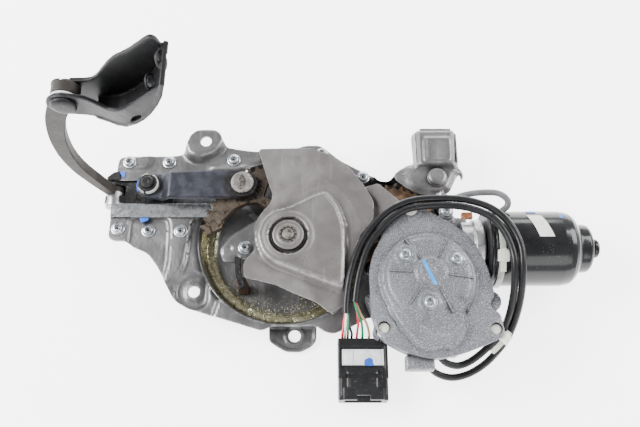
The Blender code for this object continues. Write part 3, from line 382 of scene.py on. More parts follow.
class Paint:
    """A node material built step by step on the object's own coordinates."""

    def __init__(self, name, rough, metal, coat=0.0, specular=0.5):
        self.material = bpy.data.materials.new(name)
        self.material.use_nodes = True
        self.tree = self.material.node_tree
        self.shader = self.tree.nodes["Principled BSDF"]
        self.shader.inputs["Metallic"].default_value = metal
        self.shader.inputs["Roughness"].default_value = rough
        self.shader.inputs["Coat Weight"].default_value = coat
        self.shader.inputs["Specular IOR Level"].default_value = specular
        self.shader.inputs["Coat Roughness"].default_value = 0.12
        self.place = self.node("ShaderNodeTexCoord").outputs["Object"]
        self.rough = rough

    def node(self, kind, **settings):
        node = self.tree.nodes.new(kind)
        for key, value in settings.items():
            setattr(node, key, value)
        return node

    def link(self, source, target):
        if isinstance(source, bpy.types.NodeSocket):
            self.tree.links.new(source, target)
        else:
            wide = target.type == "RGBA" and not isinstance(source, tuple)
            shade = (source, source, source) if wide else source
            target.default_value = (*shade, 1.0) if isinstance(shade, tuple) else shade

    def stretched(self, scale):
        """Object coordinates scaled unevenly, for brushed or streaky grain."""
        node = self.node("ShaderNodeMapping")
        node.inputs["Scale"].default_value = scale
        self.link(self.place, node.inputs["Vector"])
        return node.outputs[0]

    def noise(self, size, detail=4.0, warp=0.0, place=None):
        """Fractal noise with features about size millimetres across."""
        node = self.node("ShaderNodeTexNoise")
        node.inputs["Scale"].default_value = 1 / (size * MM)
        node.inputs["Detail"].default_value = detail
        node.inputs["Distortion"].default_value = warp
        self.link(place or self.place, node.inputs["Vector"])
        return node.outputs["Fac"]

    def cells(self, size, feature="F1"):
        node = self.node("ShaderNodeTexVoronoi", feature=feature)
        node.inputs["Scale"].default_value = 1 / (size * MM)
        self.link(self.place, node.inputs["Vector"])
        return node.outputs["Distance"]

    def band(self, value, low, high):
        """0 below low, 1 above high, smooth between; low may be the larger."""
        node = self.node("ShaderNodeMapRange", interpolation_type="SMOOTHSTEP")
        node.inputs["From Min"].default_value = min(low, high)
        node.inputs["From Max"].default_value = max(low, high)
        node.inputs["To Min"].default_value = 0.0 if low < high else 1.0
        node.inputs["To Max"].default_value = 1.0 if low < high else 0.0
        self.link(value, node.inputs["Value"])
        return node.outputs[0]

    def both(self, a, b, how="MULTIPLY"):
        """Where two shares overlap, or with MAXIMUM the larger of them."""
        node = self.node("ShaderNodeMath", operation=how, use_clamp=True)
        self.link(a, node.inputs[0])
        self.link(b, node.inputs[1])
        return node.outputs[0]

    def patches(self, low, high, size, detail=4.0, warp=0.0, place=None):
        """Share of patches: 0 where the noise is under low, 1 where it is over high."""
        return self.band(self.noise(size, detail, warp, place), low, high)

    def mix(self, share, first, second):
        node = self.node("ShaderNodeMix", data_type="RGBA")
        self.link(share, node.inputs[0])
        self.link(first, node.inputs[6])
        self.link(second, node.inputs[7])
        return node.outputs[2]

    def over(self, colour, share, strength, shade):
        """Lay a shade over a colour where share is high."""
        return self.mix(self.range(share, 0, strength), colour, shade)

    def range(self, share, low, high):
        node = self.node("ShaderNodeMapRange")
        node.inputs["To Min"].default_value = low
        node.inputs["To Max"].default_value = high
        self.link(share, node.inputs["Value"])
        return node.outputs[0]

    def distance(self, x, y, z=None):
        """Distance in metres from a vertical axis, or from a point."""
        shift = self.node("ShaderNodeVectorMath", operation="SUBTRACT")
        shift.inputs[1].default_value = (x * MM, y * MM, (z or 0) * MM)
        self.link(self.place, shift.inputs[0])
        flat = self.node("ShaderNodeVectorMath", operation="MULTIPLY")
        flat.inputs[1].default_value = (1, 1, 0 if z is None else 1)
        self.link(shift.outputs[0], flat.inputs[0])
        length = self.node("ShaderNodeVectorMath", operation="LENGTH")
        self.link(flat.outputs[0], length.inputs[0])
        return length.outputs["Value"]

    def axis(self, name):
        node = self.node("ShaderNodeSeparateXYZ")
        self.link(self.place, node.inputs[0])
        return node.outputs[name]

    def edges(self, low, high):
        """Share of wear on outer edges, from the surface's own pointiness."""
        return self.band(self.node("ShaderNodeNewGeometry").outputs["Pointiness"], low, high)

    def crevice(self, reach, low=0.5, high=0.97):
        """Share of shade in grooves and corners, from how much of the sky within reach is hidden."""
        node = self.node("ShaderNodeAmbientOcclusion", samples=6)
        node.inputs["Distance"].default_value = reach * MM
        return self.band(node.outputs["AO"], high, low)

    def relief(self, height, strength, distance):
        node = self.node("ShaderNodeBump")
        node.inputs["Strength"].default_value = strength
        node.inputs["Distance"].default_value = distance * MM
        self.link(height, node.inputs["Height"])
        if self.shader.inputs["Normal"].is_linked:
            self.link(self.shader.inputs["Normal"].links[0].from_socket, node.inputs["Normal"])
        self.link(node.outputs[0], self.shader.inputs["Normal"])

    def done(self, colour, rough=None):
        self.link(colour, self.shader.inputs["Base Color"])
        if rough is not None:
            self.link(rough, self.shader.inputs["Roughness"])
        return self.material


def stamped(name, light, dark, grease=False, rough=0.4):
    """Satin pressed steel: cloudy tone, fine grain, painted shade in the creases, specks and a few rust
    freckles.
    """
    paint = Paint(name, rough, 0.8)
    cloud = paint.patches(0.32, 0.7, 26, 5, 0.4)
    grain = paint.noise(0.9, 3)
    colour = paint.mix(cloud, dark, light)
    colour = paint.over(colour, grain, 0.3, tuple(c * 0.45 for c in dark))
    streak = paint.noise(5, 4, 0.0, paint.stretched((1.0, 0.14, 1.0)))
    colour = paint.over(colour, paint.band(streak, 0.55, 0.75), 0.25, tuple(c * 1.6 for c in light))
    wear = paint.both(paint.edges(0.52, 0.57), paint.patches(0.35, 0.6, 7, 3))
    colour = paint.over(colour, wear, 0.6, (0.55, 0.54, 0.55))
    speck = paint.both(paint.band(paint.cells(3.1), 0.13, 0.09), paint.patches(0.5, 0.56, 14, 2))
    colour = paint.over(colour, speck, 0.8, (0.03, 0.026, 0.022))
    rust = paint.both(paint.patches(0.66, 0.74, 2.2, 6), paint.patches(0.52, 0.62, 40, 2))
    colour = paint.over(colour, rust, 0.55, (0.2, 0.1, 0.045))
    # painted shade: creases and corners darkened by how much of the sky is hidden nearby
    colour = paint.over(colour, paint.crevice(7), 0.8, (0.02, 0.018, 0.016))
    shine = paint.range(paint.noise(9, 5, 0.3), rough - 0.1, rough + 0.16)
    if grease:
        colour, shine = greased(paint, colour, shine)
    paint.relief(paint.noise(0.55, 2), 0.12, 0.2)
    paint.relief(paint.noise(11, 3), 0.25, 0.5)
    return paint.done(colour, shine)


def greased(paint, colour, shine):
    """Olive-yellow grease thrown on the dish where the sector's teeth pass, and creeping off the wall."""
    reach = paint.distance(*DISH)
    ring = paint.both(paint.band(reach, 0.055, 0.0595), paint.band(reach, 0.0683, 0.0677))
    clump = paint.patches(0.26, 0.42, 5.5, 5, 1.0)
    low = paint.band(paint.axis("Y"), -0.018, -0.034)
    spread = paint.both(paint.band(reach, 0.034, 0.06), paint.band(reach, 0.0683, 0.0677))
    spatter = paint.both(paint.patches(0.54, 0.6, 3.4, 7, 1.8), paint.both(spread, low))
    film = paint.both(paint.both(ring, clump), spatter, "MAXIMUM")
    inside = paint.both(paint.band(paint.axis("Z"), 0.0013, 0.0018),
                        paint.band(paint.axis("Z"), 0.0205, 0.016))
    film = paint.both(film, inside)
    tone = paint.mix(paint.patches(0.34, 0.66, 3.0, 6, 0.8), (0.26, 0.23, 0.12), (0.5, 0.475, 0.32))
    paint.relief(film, 0.5, 0.9)
    paint.relief(paint.noise(2.6, 4, 0.8), 0.35, 0.7)
    return (paint.over(colour, film, 0.92, tone),
            paint.over(shine, film, 0.9, 0.2))


def plated(name, light=(0.62, 0.64, 0.66), dark=(0.3, 0.32, 0.35), rough=0.26):
    """Bright zinc plating with a bluish cast and dull stains."""
    paint = Paint(name, rough, 0.95)
    cloud = paint.patches(0.35, 0.68, 5, 5, 0.6)
    colour = paint.mix(cloud, dark, light)
    dirt = paint.patches(0.6, 0.72, 2.2, 6, 0.8)
    colour = paint.over(colour, dirt, 0.6, (0.06, 0.055, 0.05))
    paint.relief(paint.noise(0.7, 3), 0.15, 0.2)
    return paint.done(colour, paint.range(paint.noise(2.5, 5), rough - 0.1, rough + 0.22))


def cast(name):
    """Die-cast alloy: pale grey with a salt-and-pepper blasted skin and painted shade in its grooves."""
    paint = Paint(name, 0.55, 0.45)
    cloud = paint.patches(0.3, 0.7, 22, 4)
    colour = paint.mix(cloud, (0.145, 0.147, 0.16), (0.2, 0.202, 0.218))
    pepper = paint.patches(0.54, 0.64, 0.85, 2)
    salt = paint.patches(0.57, 0.68, 0.95, 2, 0.3)
    colour = paint.over(colour, pepper, 0.75, (0.06, 0.06, 0.07))
    colour = paint.over(colour, salt, 0.5, (0.7, 0.7, 0.73))
    # painted shade: grooves and corners darkened by how much of the sky is hidden nearby
    colour = paint.over(colour, paint.crevice(4), 0.9, (0.03, 0.03, 0.034))
    paint.relief(paint.noise(0.9, 3), 0.55, 0.3)
    return paint.done(colour, paint.range(pepper, 0.45, 0.7))


def painted(name, colour, worn, rough, coat=0.0, texture=0.15, wear=(0.53, 0.6)):
    """Black or dark paint over steel: rubbed edges, dust and light scuffs."""
    paint = Paint(name, rough, 0.0, coat, 0.22)
    tone = paint.mix(paint.patches(0.35, 0.7, 12, 5, 0.5), colour, tuple(c * 1.7 for c in colour))
    scuff = paint.patches(0.62, 0.72, 1.2, 6, 0.4, paint.stretched((1.0, 1.0, 0.25)))
    tone = paint.over(tone, scuff, 0.28, worn)
    tone = paint.over(tone, paint.edges(*wear), 0.75, worn)
    dust = paint.both(paint.band(paint.cells(2.3), 0.12, 0.07), paint.patches(0.52, 0.6, 9, 2))
    tone = paint.over(tone, dust, 0.4, (0.3, 0.3, 0.3))
    paint.relief(paint.noise(0.9, 4), texture, 0.3)
    return paint.done(tone, paint.range(paint.noise(6, 4), rough - 0.06, rough + 0.14))


def link_bar(name):
    """Blue-black heat-treated bar with long scratches and greasy ends."""
    paint = Paint(name, 0.38, 0.65)
    tone = paint.mix(paint.patches(0.35, 0.7, 8, 5, 0.3), (0.022, 0.023, 0.03), (0.05, 0.052, 0.066))
    scratch = paint.patches(0.64, 0.72, 0.7, 5, 0.1, paint.stretched((0.03, 1.0, 1.0)))
    patch = paint.patches(0.5, 0.62, 16, 3)
    tone = paint.over(tone, paint.both(scratch, patch), 0.5, (0.2, 0.21, 0.24))
    tone = paint.over(tone, paint.edges(0.53, 0.6), 0.45, (0.2, 0.2, 0.23))
    oil = paint.both(paint.band(paint.distance(*CRANK), 0.0175, 0.0135), paint.noise(2.5, 5))
    tone = paint.over(tone, oil, 1.4, (0.012, 0.009, 0.006))
    paint.relief(paint.noise(0.7, 4), 0.14, 0.25)
    return paint.done(tone, paint.range(paint.noise(3, 5), 0.36, 0.6))


def greasy_steel(name, light, dark, oil=(0.02, 0.014, 0.008)):
    """Brown, oily hardened steel with black grease held in patches."""
    paint = Paint(name, 0.42, 0.5)
    tone = paint.mix(paint.patches(0.32, 0.68, 7, 6, 0.8), dark, light)
    patch = paint.patches(0.54, 0.64, 4.5, 6, 1.1)
    tone = paint.over(tone, patch, 0.75, oil)
    fleck = paint.band(paint.cells(2.4), 0.12, 0.06)
    tone = paint.over(tone, fleck, 0.6, (0.55, 0.48, 0.38))
    paint.relief(paint.noise(1.1, 5, 0.5), 0.35, 0.4)
    return paint.done(tone, paint.mix(patch, paint.range(paint.noise(2, 4), 0.38, 0.6), 0.2))


def moulded(name, colour, rough=0.4, texture=0.2, dusty=0.12, metal=0.0):
    """Plastic or rubber with a fine moulded skin and a little dust."""
    paint = Paint(name, rough, metal, specular=0.25 if max(colour) < 0.1 else 0.5)
    tone = paint.mix(
        paint.patches(0.35, 0.7, 9, 4), colour, tuple(min(1, c * 1.25 + 0.002) for c in colour))
    dust = paint.patches(0.6, 0.74, 1.6, 6, 0.5)
    tone = paint.over(tone, dust, dusty, (0.45, 0.43, 0.4))
    paint.relief(paint.noise(0.5, 3), texture, 0.15)
    return paint.done(tone, paint.range(paint.noise(4, 4), rough - 0.05, rough + 0.14))


def sheathed(name):
    """Black vinyl cable sheath: glossy, lightly wrinkled along its run, dusty in places."""
    paint = Paint(name, 0.3, 0.0, specular=0.3)
    tone = paint.mix(paint.noise(10, 4), (0.004, 0.004, 0.0045), (0.012, 0.012, 0.013))
    scuff = paint.patches(0.6, 0.76, 2.0, 6, 0.6)
    tone = paint.over(tone, scuff, 0.15, (0.2, 0.2, 0.21))
    paint.relief(paint.noise(3.5, 4, 0.4), 0.3, 0.5)
    return paint.done(tone, paint.range(paint.noise(3, 5), 0.2, 0.44))


def nylon(name):
    """Natural, slightly yellowed nylon that lets a little light in."""
    paint = Paint(name, 0.36, 0.0)
    paint.shader.inputs["Subsurface Weight"].default_value = 0.25
    paint.shader.inputs["Subsurface Radius"].default_value = (0.002, 0.0015, 0.001)
    tone = paint.mix(paint.noise(5, 4), (0.68, 0.67, 0.56), (0.82, 0.82, 0.76))
    paint.relief(paint.noise(0.6, 3), 0.15, 0.2)
    return paint.done(tone, paint.range(paint.noise(2, 4), 0.3, 0.5))


LOOKS = {
    "pan": stamped("pan_steel", (0.24, 0.235, 0.236), (0.13, 0.127, 0.128), grease=True, rough=0.36),
    "cover": stamped("cover_steel", (0.3, 0.278, 0.274), (0.2, 0.185, 0.18), rough=0.4),
    "zinc": plated("zinc_plate"),
    # the rail's zinc is a darker copy of the plating: partly its own darker tone, partly painted shade for
    # its shadowed channel
    "rail": plated("rail_zinc_dull_and_shaded", (0.42, 0.43, 0.44), (0.3, 0.305, 0.315), 0.24),
    "collar": plated("collar_zinc", (0.5, 0.5, 0.5), (0.27, 0.27, 0.28), 0.34),
    "cast": cast("cast_alloy"),
    "can": painted("can_black", (0.006, 0.006, 0.0065), (0.05, 0.05, 0.055), 0.16, 0.25, 0.05, (0.62, 0.7)),
    "bracket": painted("bracket_black", (0.004, 0.004, 0.0045), (0.05, 0.05, 0.054), 0.42, 0.0, 0.3,
                       (0.515, 0.56)),
    "arm": painted("arm_brown", (0.022, 0.019, 0.0165), (0.06, 0.053, 0.047), 0.55, 0.0, 0.25, (0.54, 0.6)),
    "link": link_bar("link_steel"),
    "sector": greasy_steel("sector_steel", (0.085, 0.064, 0.046), (0.05, 0.037, 0.027)),
    "idler": greasy_steel("idler_steel", (0.2, 0.12, 0.065), (0.06, 0.035, 0.02)),
    "rivet": greasy_steel("rivet_steel", (0.26, 0.25, 0.235), (0.13, 0.12, 0.11), (0.05, 0.042, 0.036)),
    "dark": greasy_steel("dark_steel", (0.016, 0.016, 0.018), (0.008, 0.008, 0.009)),
    "oil": greasy_steel("black_grease", (0.012, 0.009, 0.006), (0.005, 0.004, 0.003)),
    "bronze": plated("bush_bronze", (0.6, 0.42, 0.22), (0.3, 0.19, 0.09), 0.35),
    "copper": plated("copper_wire", (0.7, 0.32, 0.18), (0.4, 0.16, 0.08), 0.32),
    "plastic": moulded("plastic_black", (0.012, 0.012, 0.013), 0.32, 0.25),
    "black_lump_look": moulded("black_lump_matte", (0.012, 0.012, 0.012), 0.75, 0.6, 0.2),
    "rubber": moulded("rubber_brown", (0.05, 0.028, 0.018), 0.6, 0.5),
    "white": moulded("plastic_white", (0.72, 0.73, 0.75), 0.4, 0.15, 0.3),
    "sheath": sheathed("cable_sheath"),
    "sleeve": moulded("sleeve_grey", (0.11, 0.11, 0.115), 0.3, 0.4),
    "nylon": nylon("tie_nylon"),
    "ridge": moulded("tie_grey_nylon", (0.4, 0.41, 0.37), 0.38, 0.3, 0.2),
    "label": moulded("blank_label", (0.62, 0.62, 0.58), 0.6, 0.3, 0.35),
    "blue": moulded("marker_blue", (0.012, 0.1, 0.5), 0.5, 0.3, 0.15),
    "pen": moulded("marker_cyan", (0.015, 0.24, 0.6), 0.5, 0.3, 0.25),
    "paint": moulded("paint_ring", (0.4, 0.4, 0.37), 0.5, 0.5, 0.5),
    "red": moulded("wire_red", (0.6, 0.012, 0.016), 0.35, 0.15),
    "green": moulded("wire_green", (0.006, 0.2, 0.08), 0.35, 0.15),
    "pale": moulded("wire_pale", (0.7, 0.68, 0.62), 0.35, 0.15),
    "beige": moulded("wire_beige", (0.5, 0.3, 0.16), 0.35, 0.15),
    "black": moulded("wire_black", (0.01, 0.01, 0.01), 0.3, 0.15),
}


def dress(piece, body, look, slot, *nodes):
    """Give a piece its material and the body it rides on, and hide the CAD nodes it stands for; slot is not
    used.
    """
    piece.data.materials.clear()
    piece.data.materials.append(LOOKS[look])
    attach(piece, body)
    if nodes:
        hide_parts(*nodes)
    return piece


def keep(node, look, edge=0.3):
    """A CAD node that stays in view: a better material and softly broken edges."""
    piece = NODES[node]
    piece.data.materials.clear()
    piece.data.materials.append(LOOKS[look])
    piece.data.shade_smooth()
    piece.data.set_sharp_from_angle(angle=math.radians(32))
    if edge:
        bevel = piece.modifiers.new("edges", "BEVEL")
        bevel.width = edge * MM
        bevel.segments = 2
        bevel.limit_method = "ANGLE"
        bevel.angle_limit = math.radians(40)
        weighted(piece)


# =============================== base pan ===============================

FLANGE = [(-146, 7), (-141, 4), (-131, 4), (-126, 0), (-114, -5), (-104, -18), (-96, -33), (-90, -44),
          (-78, -50.5), (-46, -61), (-20, -68.8), (-13, -64.8), (22, -64.8), (27, -69), (34, -71.2),
          (48, -66), (62, -58), (84, -62), (106, -65), (128, -58), (138, -34), (134, -4), (130, 20),
          (128, 44), (136, 57), (136, 69), (97, 70), (86, 61), (69, 60), (41, 76), (25, 90), (12, 90),
          (2, 86), (-30, 84), (-44, 86), (-54, 88), (-57.5, 92), (-59, 97), (-64, 101.2), (-71, 102.6),
          (-78, 101.2), (-84, 97), (-86.5, 90), (-89, 82), (-96, 80), (-115, 79.5), (-144, 78)]
SLOT_LOW, SLOT_END = 34.2, -17.5
SLOT_EDGE, SLOT_HIGH = 57.4, 63.2      # far edge of the slot: beside the slider, and beyond it
WALL_END = 66.8                        # the dish has no wall between SLOT_LOW and here
TAB = [(-92, 84), (-88.7, 77), (-82.2, 72.7), (-74.4, 72.2), (-62.2, 77), (-56.7, 82.4), (-53, 89),
       (-50, 106), (-95, 106)]
POCKETS = [[(-131.5, 25.5), (-98.5, 25.5), (-96.8, 10), (-96, -14), (-102, -40), (-131, -40)],
           [(-79.5, 25.5), (-50, 25.5), (-50, -30), (-62, -70), (-120, -70), (-84, -18)]]
CORNER_PAD = [(-150, 67), (-121, 67), (-117, 70.5), (-115.5, 76), (-115.5, 88), (-150, 88)]


def pan_outline():
    """The flange, open along the rail slot and round the dish."""
    x, y = DISH
    first = math.degrees(math.asin((SLOT_HIGH - y) / DISH_RIM))
    last = math.degrees(math.asin((SLOT_LOW - y) / DISH_RIM))
    inner = arc(x, y, DISH_RIM, 180 - first, -180 - last, 120)
    return (rounded(FLANGE, 5) + [(-146, SLOT_EDGE), (-76, SLOT_EDGE), (-73.5, SLOT_EDGE + 1),
                                  (-70.5, SLOT_HIGH)]
            + inner + [(-146, SLOT_LOW)])


def pan_height(points):
    """Level of the pressed sheet at each point of the flange."""
    level = np.full(len(points), FLANGE_TOP)
    x, y = points[:, 0], points[:, 1]
    level += 1.4 * within(points, CORNER_PAD, 5, 0, 1.5)
    level += 7.6 * within(points, TAB, 8, -0.5, 6.0)
    for pocket in POCKETS:
        level -= 3.4 * within(points, pocket, 7, -1.2, 1.8)
    ear = span(points, *LEFT_EAR)
    level -= 3.4 * ease(ear, 16, 13) * ease(y, -20, -25) * ease(x, -62, -66)
    level += 1.0 * ease(ear, 8.2, 7.2)
    level -= 3.0 * ease(np.abs(y - SLOT_HIGH), 3.6, 0) * ease(x, -76, -70) * ease(x, -20, -34)
    level += 1.5 * np.exp(-((y - SLOT_HIGH - 5.8) / 1.9) ** 2) * ease(x, -69, -64) * ease(x, -22, -32)
    outer = away(points, FLANGE)
    right = ease(x, 30, 60) * ease(y, 30, 48)
    level += 3.0 * np.exp(-((outer - 4.5) / 2.4) ** 2) * right * ease(x, 66, 76)
    level -= 0.9 * near(points, DISH, DISH_RIM + 3.2, DISH_RIM + 0.4)
    for centre, reach in ((IDLER, 45), (CLUTCH, 28)):
        level -= (FLANGE_TOP - 8) * near(points, centre, reach, reach - 3)
    return np.maximum(level, 8)


def dish_profile():
    """Radius and level from the middle of the dish up its wall, over the rim and back underneath."""
    rim, floor = DISH_RIM, DISH_FLOOR
    return [(0, floor), (30, floor), (rim - 16, floor), (rim - 13.5, floor + 0.4),
            (rim - 11.5, floor + 1.2), (rim - 9, floor + 1.4), (rim - 7, floor + 0.9),
            (rim - 5, floor + 1.3), (rim - 3.6, 5), (rim - 2.8, 9), (rim - 2.3, 16), (rim - 1.8, 18.6),
            (rim - 0.9, 20.3), (rim, FLANGE_TOP - 0.9), (rim, FLANGE_TOP - 2.7), (rim - 1, 14),
            (rim - 1.6, 5), (rim - 3, 1.2), (rim - 7, 0.3), (0, 0.2)]


def build_pan():
    mount_holes = [circle(*LEFT_EAR, 4.6, 32), circle(*TAB_HOLE, 4.6, 32), circle(16, 84.5, 2.2, 20),
                   circle(*BOLT, 4.6, 24)]
    pan = pressed("pan", pan_outline(), pan_height, 1.6, mount_holes, 1.8)
    dish = moved(lathe("dish", rounded(dish_profile(), 0.8, 2, closed=False), 144, 0.01), *DISH)
    wells = [(IDLER, 43.5), (CLUTCH, 26)]
    for vert in dish.data.vertices:
        x, y, z = vert.co / MM
        in_slot = SLOT_LOW < y < WALL_END and x < SLOT_END
        if in_slot and z > DISH_FLOOR:
            vert.co.z = DISH_FLOOR * MM
        if any(math.hypot(x - cx, y - cy) < reach for (cx, cy), reach in wells) and z > 8:
            vert.co.z = 8 * MM
    outline = [(-16, -57), (22, -57), (21.5, -73), (18, -77), (10, -81.5), (-2, -81.5), (-11.6, -76),
               (-15.5, -73)]

    def ear_height(p):
        level = 2.5 + 6 * ease(p[:, 1], -63, -59) + 1.1 * within(p, outline, 3, 3.2, 1.6)
        return level + 0.8 * near(p, LOW_EAR, 8.4, 7.6) - 0.5 * near(p, LOW_EAR, 6.4, 5.6)

    ear = pressed("ear", rounded(outline, 3), ear_height, 1.1, [circle(*LOW_EAR, 4.8, 40)], 1.7)
    post = moved(lathe("post", [(0, 2.2), (7.5, 2.2), (6, 4), (6, 22), (0, 22)]), *FOOT_SCREW)
    dress(joined(pan, dish, ear, post), "frame", "pan", "stamped_steel", "base_pan")
    pan.data.shade_smooth()
    pan.data.set_sharp_from_angle(angle=math.radians(50))


def build_rail():
    section = [(24, 22.3), (34.8, 22.3), (34.8, 6), (65.2, 6), (65.2, 19.6), (63.7, 19.6), (63.7, 7.5),
               (36.3, 7.5), (36.3, 23.8), (24, 23.8)]
    rail = slab("rail", rounded(section, 1.4, 4), -146, -50, edge=0.25, segments=2)
    rail.data.transform(Matrix(((0, 0, 1, 0), (1, 0, 0, 0), (0, 1, 0, 0), (0, 0, 0, 1))))
    dress(rail, "frame", "rail", "zinc_steel", "rail_channel")
    dab = slab("rail_dab", rounded([(-122.7, 24.9), (-115.2, 24.9), (-114.9, 21.9), (-120.8, 19.9)], 1.2),
               FLANGE_TOP - 1.2, FLANGE_TOP + 0.3, edge=0.3)
    dress(dab, "frame", "blue", "stamped_steel")


# =============================== bracket on the right arm ===============================

BRACKET = [(88, 56), (96, 50), (106, 45), (119, 44), (131, 46), (138, 60), (140.5, 62), (141.5, 57),
           (143, 58), (143.5, 63), (140, 68), (140.4, 80), (140.6, 99), (136, 103.6), (108, 103.6),
           (102, 99), (102.8, 72), (97, 71), (86, 62)]
BOX = [(103, 64), (138.5, 64), (140, 103), (103.5, 103)]
PAD = [(110, 69.5), (133.5, 69.5), (134.2, 93), (110.4, 93)]


def bracket_height(points):
    x, y = points[:, 0], points[:, 1]
    inner = away(points, BRACKET)
    level = 24.0 + 2.6 * ease(inner, -0.5, 6) * ease(x, 90, 104)
    level -= 1.8 * ease(y, 50, 44)
    box = away(points, rounded(BOX, 5))
    level += (31.6 - level) * ease(box, -1.5, 5.4) * ease(y, 65, 69)
    pad = away(points, rounded(PAD, 3))
    level += 1.7 * ease(pad, -0.6, 1.2) - 0.5 * ease(pad, 2.2, 3.4)
    level -= 1.8 * ease(inner, 1.8, 0) * ease(y, 66, 70)
    return level


def build_bracket():
    bracket = pressed(
        "box_bracket", rounded(BRACKET, 2.5, 4), bracket_height, 1.2, [circle(*BOLT, 4.3, 24)], 1.6)
    walls = []
    for x0, x1, y0, y1 in ((104.4, 105.8, 72, 98), (137.6, 139.2, 72, 98), (109, 135, 101.4, 102.8)):
        walls.append(block("wall", x0, x1, y0, y1, 23.9, 28.6, 0.3))
    dress(joined(bracket, *walls), "frame", "pan", "stamped_steel", "side_bracket")
    seat = 26.8
    bolt = lathe("bolt",
                 [(0, 24.7), (4, 24.7), (4, seat), (8.3, seat), (8.3, seat + 1), (7.6, seat + 1.5),
                  (7.4, seat + 3.2), (5.5, seat + 4), (0, seat + 3.6)], soft=0.5)
    dress(moved(bolt, *BOLT), "frame", "pan", "stamped_steel", "bracket_bolt")


# =============================== gear cover and hub ===============================

COVER = [(-26, 76), (16, 77), (33, 71), (48, 60), (60, 43), (67, 30), (66, 14), (56, 2), (47, -22),
         (43.5, -40), (44.5, -52), (33, -60.5), (22, -51.5), (6, -45), (-9, -38), (-25, -34), (-33, -33),
         (-34, -20), (-25, -11), (-27, 9), (-22, 19), (-14, 29), (-13, 35)]
RAISED = [(-25, 0), (-22, 12), (-13, 21), (0, 24), (21, 35), (29, 37.5), (39, 26), (44.5, 9), (45, -10),
          (44.5, -30), (44, -43.8), (29.2, -38.4), (-11.4, -22.2), (-20, -14.5)]


COVER_LEVEL, COVER_RISE = 42.9, 4.1    # the sheet's low part, and the step up to its middle
COVER_THICK = 1.4


def cover_height(points):
    x, y = points[:, 0], points[:, 1]
    raised = away(points, rounded(RAISED, 6))
    level = COVER_LEVEL + COVER_RISE * ease(raised, -0.6, 1.2)
    level += 1.0 * np.exp(-((raised - 2.2) / 1.1) ** 2)
    below = ease(-31 + (x - 15) * -0.42 - y, -2, 4) * ease(x, -40, -10)
    level -= 1.2 * below * ease(raised, 1, -2)
    level += 0.9 * ease(raised, 0, 4) * ease(span(points, 0, 0), 21, 18)
    level -= 3.0 * ease(span(points, 0, 0), 15.4, 14.2)
    level -= 0.3 * np.exp(-((np.hypot(x, y) - 57) / 1.2) ** 2) * ease(x, 22, 30)
    return level


def build_gear_cover():
    cover = pressed("gear_cover_sheet", rounded(COVER, 4), cover_height, 1.15, [circle(0, 0, 8.3, 56)],
                    COVER_THICK)
    legs = [slab("leg", [(-25, 74.5), (14, 75.5), (14, 77), (-25, 76)], 22.4, 42, edge=0.3),
            slab("lip", [(34, -59), (43.5, -51.2), (42.7, -49.8), (33, -57.5)], 31.8, 41, edge=0.3)]
    dress(joined(cover, *legs), "frame", "cover", "stamped_steel", "gear_cover")
    outline = rounded(
        [(57, 44), (71.4, 48.8), (80, 41), (90, 31.5), (84, 22), (75, 10), (66, 12), (62, 30)], 2.5)
    tongue = pressed("idler_plate", outline,
                     lambda p: 35.6 - 3.0 * ease(p[:, 0] + p[:, 1], 106, 98) * ease(p[:, 0], 74, 66), 1.2,
                     thickness=COVER_THICK)
    leg = slab("idler_leg", [(66, 42), (75, 41), (74.2, 39.4), (65.2, 40.4)], 22.4, 33.6, edge=0.3)
    dress(joined(tongue, leg), "frame", "cover", "stamped_steel")


def build_hub():
    top = 46.4
    washer = lathe("hub_disc",
                   [(4.9, top), (12.1, top), (12.1, top + 1.6), (11.4, top + 2.2), (8.9, top + 2.0),
                    (8.0, top + 3.0), (5.4, top + 3.0), (4.9, top + 2.4)], 72)
    dress(washer, "frame", "cover", "stamped_steel", "hub_washer")
    teeth = joined(*[moved(block("tooth", 4.5, 6.6, -0.75, 0.75, top + 2.2, top + 3.5, 0.25),
                           turn=(0, 0, 30 * i)) for i in range(12)])
    teeth.name = "hub_staking"
    dress(teeth, "frame", "sector", "stamped_steel")
    shaft = lathe("hub_shaft",
                  [(0, 2.3), (13, 2.3), (13, 24.2), (7, 24.2), (7, 46.2), (4.6, 46.2), (4.6, top + 3.2),
                   (4.0, top + 4.0), (1.2, top + 4.1), (0, top + 3.7)], 48)
    dress(shaft, "frame", "rivet", "zinc_steel", "main_shaft")


def build_foot():
    outline = rounded(
        [(-25, 22), (-47, 8), (-55, -3), (-53, -13.5), (-42, -14.5), (-27, -9), (-22, 2)], 4)

    def foot_height(p):
        level = 24.3 + 1.2 * ease(away(p, outline), 0, 1.8) - 0.9 * near(p, (-47.5, -4), 3.1, 1.4)
        return level - 1.6 * ease(p[:, 1], -8, -12) * ease(p[:, 0], -38, -42)

    foot = pressed("foot_sheet", outline, foot_height, 0.9, [circle(*FOOT_SCREW, 2.6, 20)], 1.7)
    dress(foot, "frame", "pan", "stamped_steel", "foot_plate")
    lever = slab("stop_pin",
                 rounded([(-42.5, -12), (-38.2, -12), (-37.2, -24), (-33, -36), (-37.6, -38), (-41, -27)],
                         2, 5), 24.9, 31, edge=1.2)
    dress(lever, "frame", "dark", "black_paint", "stop_lever")
    bumper = lathe("bumper", [(0, 2.3), (4.5, 2.3), (4.5, 23.6), (3.8, 24.5), (0, 24.5)], 36)
    dress(moved(bumper, *STOP), "frame", "rubber", "rubber", "stop_bumper")


# =============================== screws ===============================

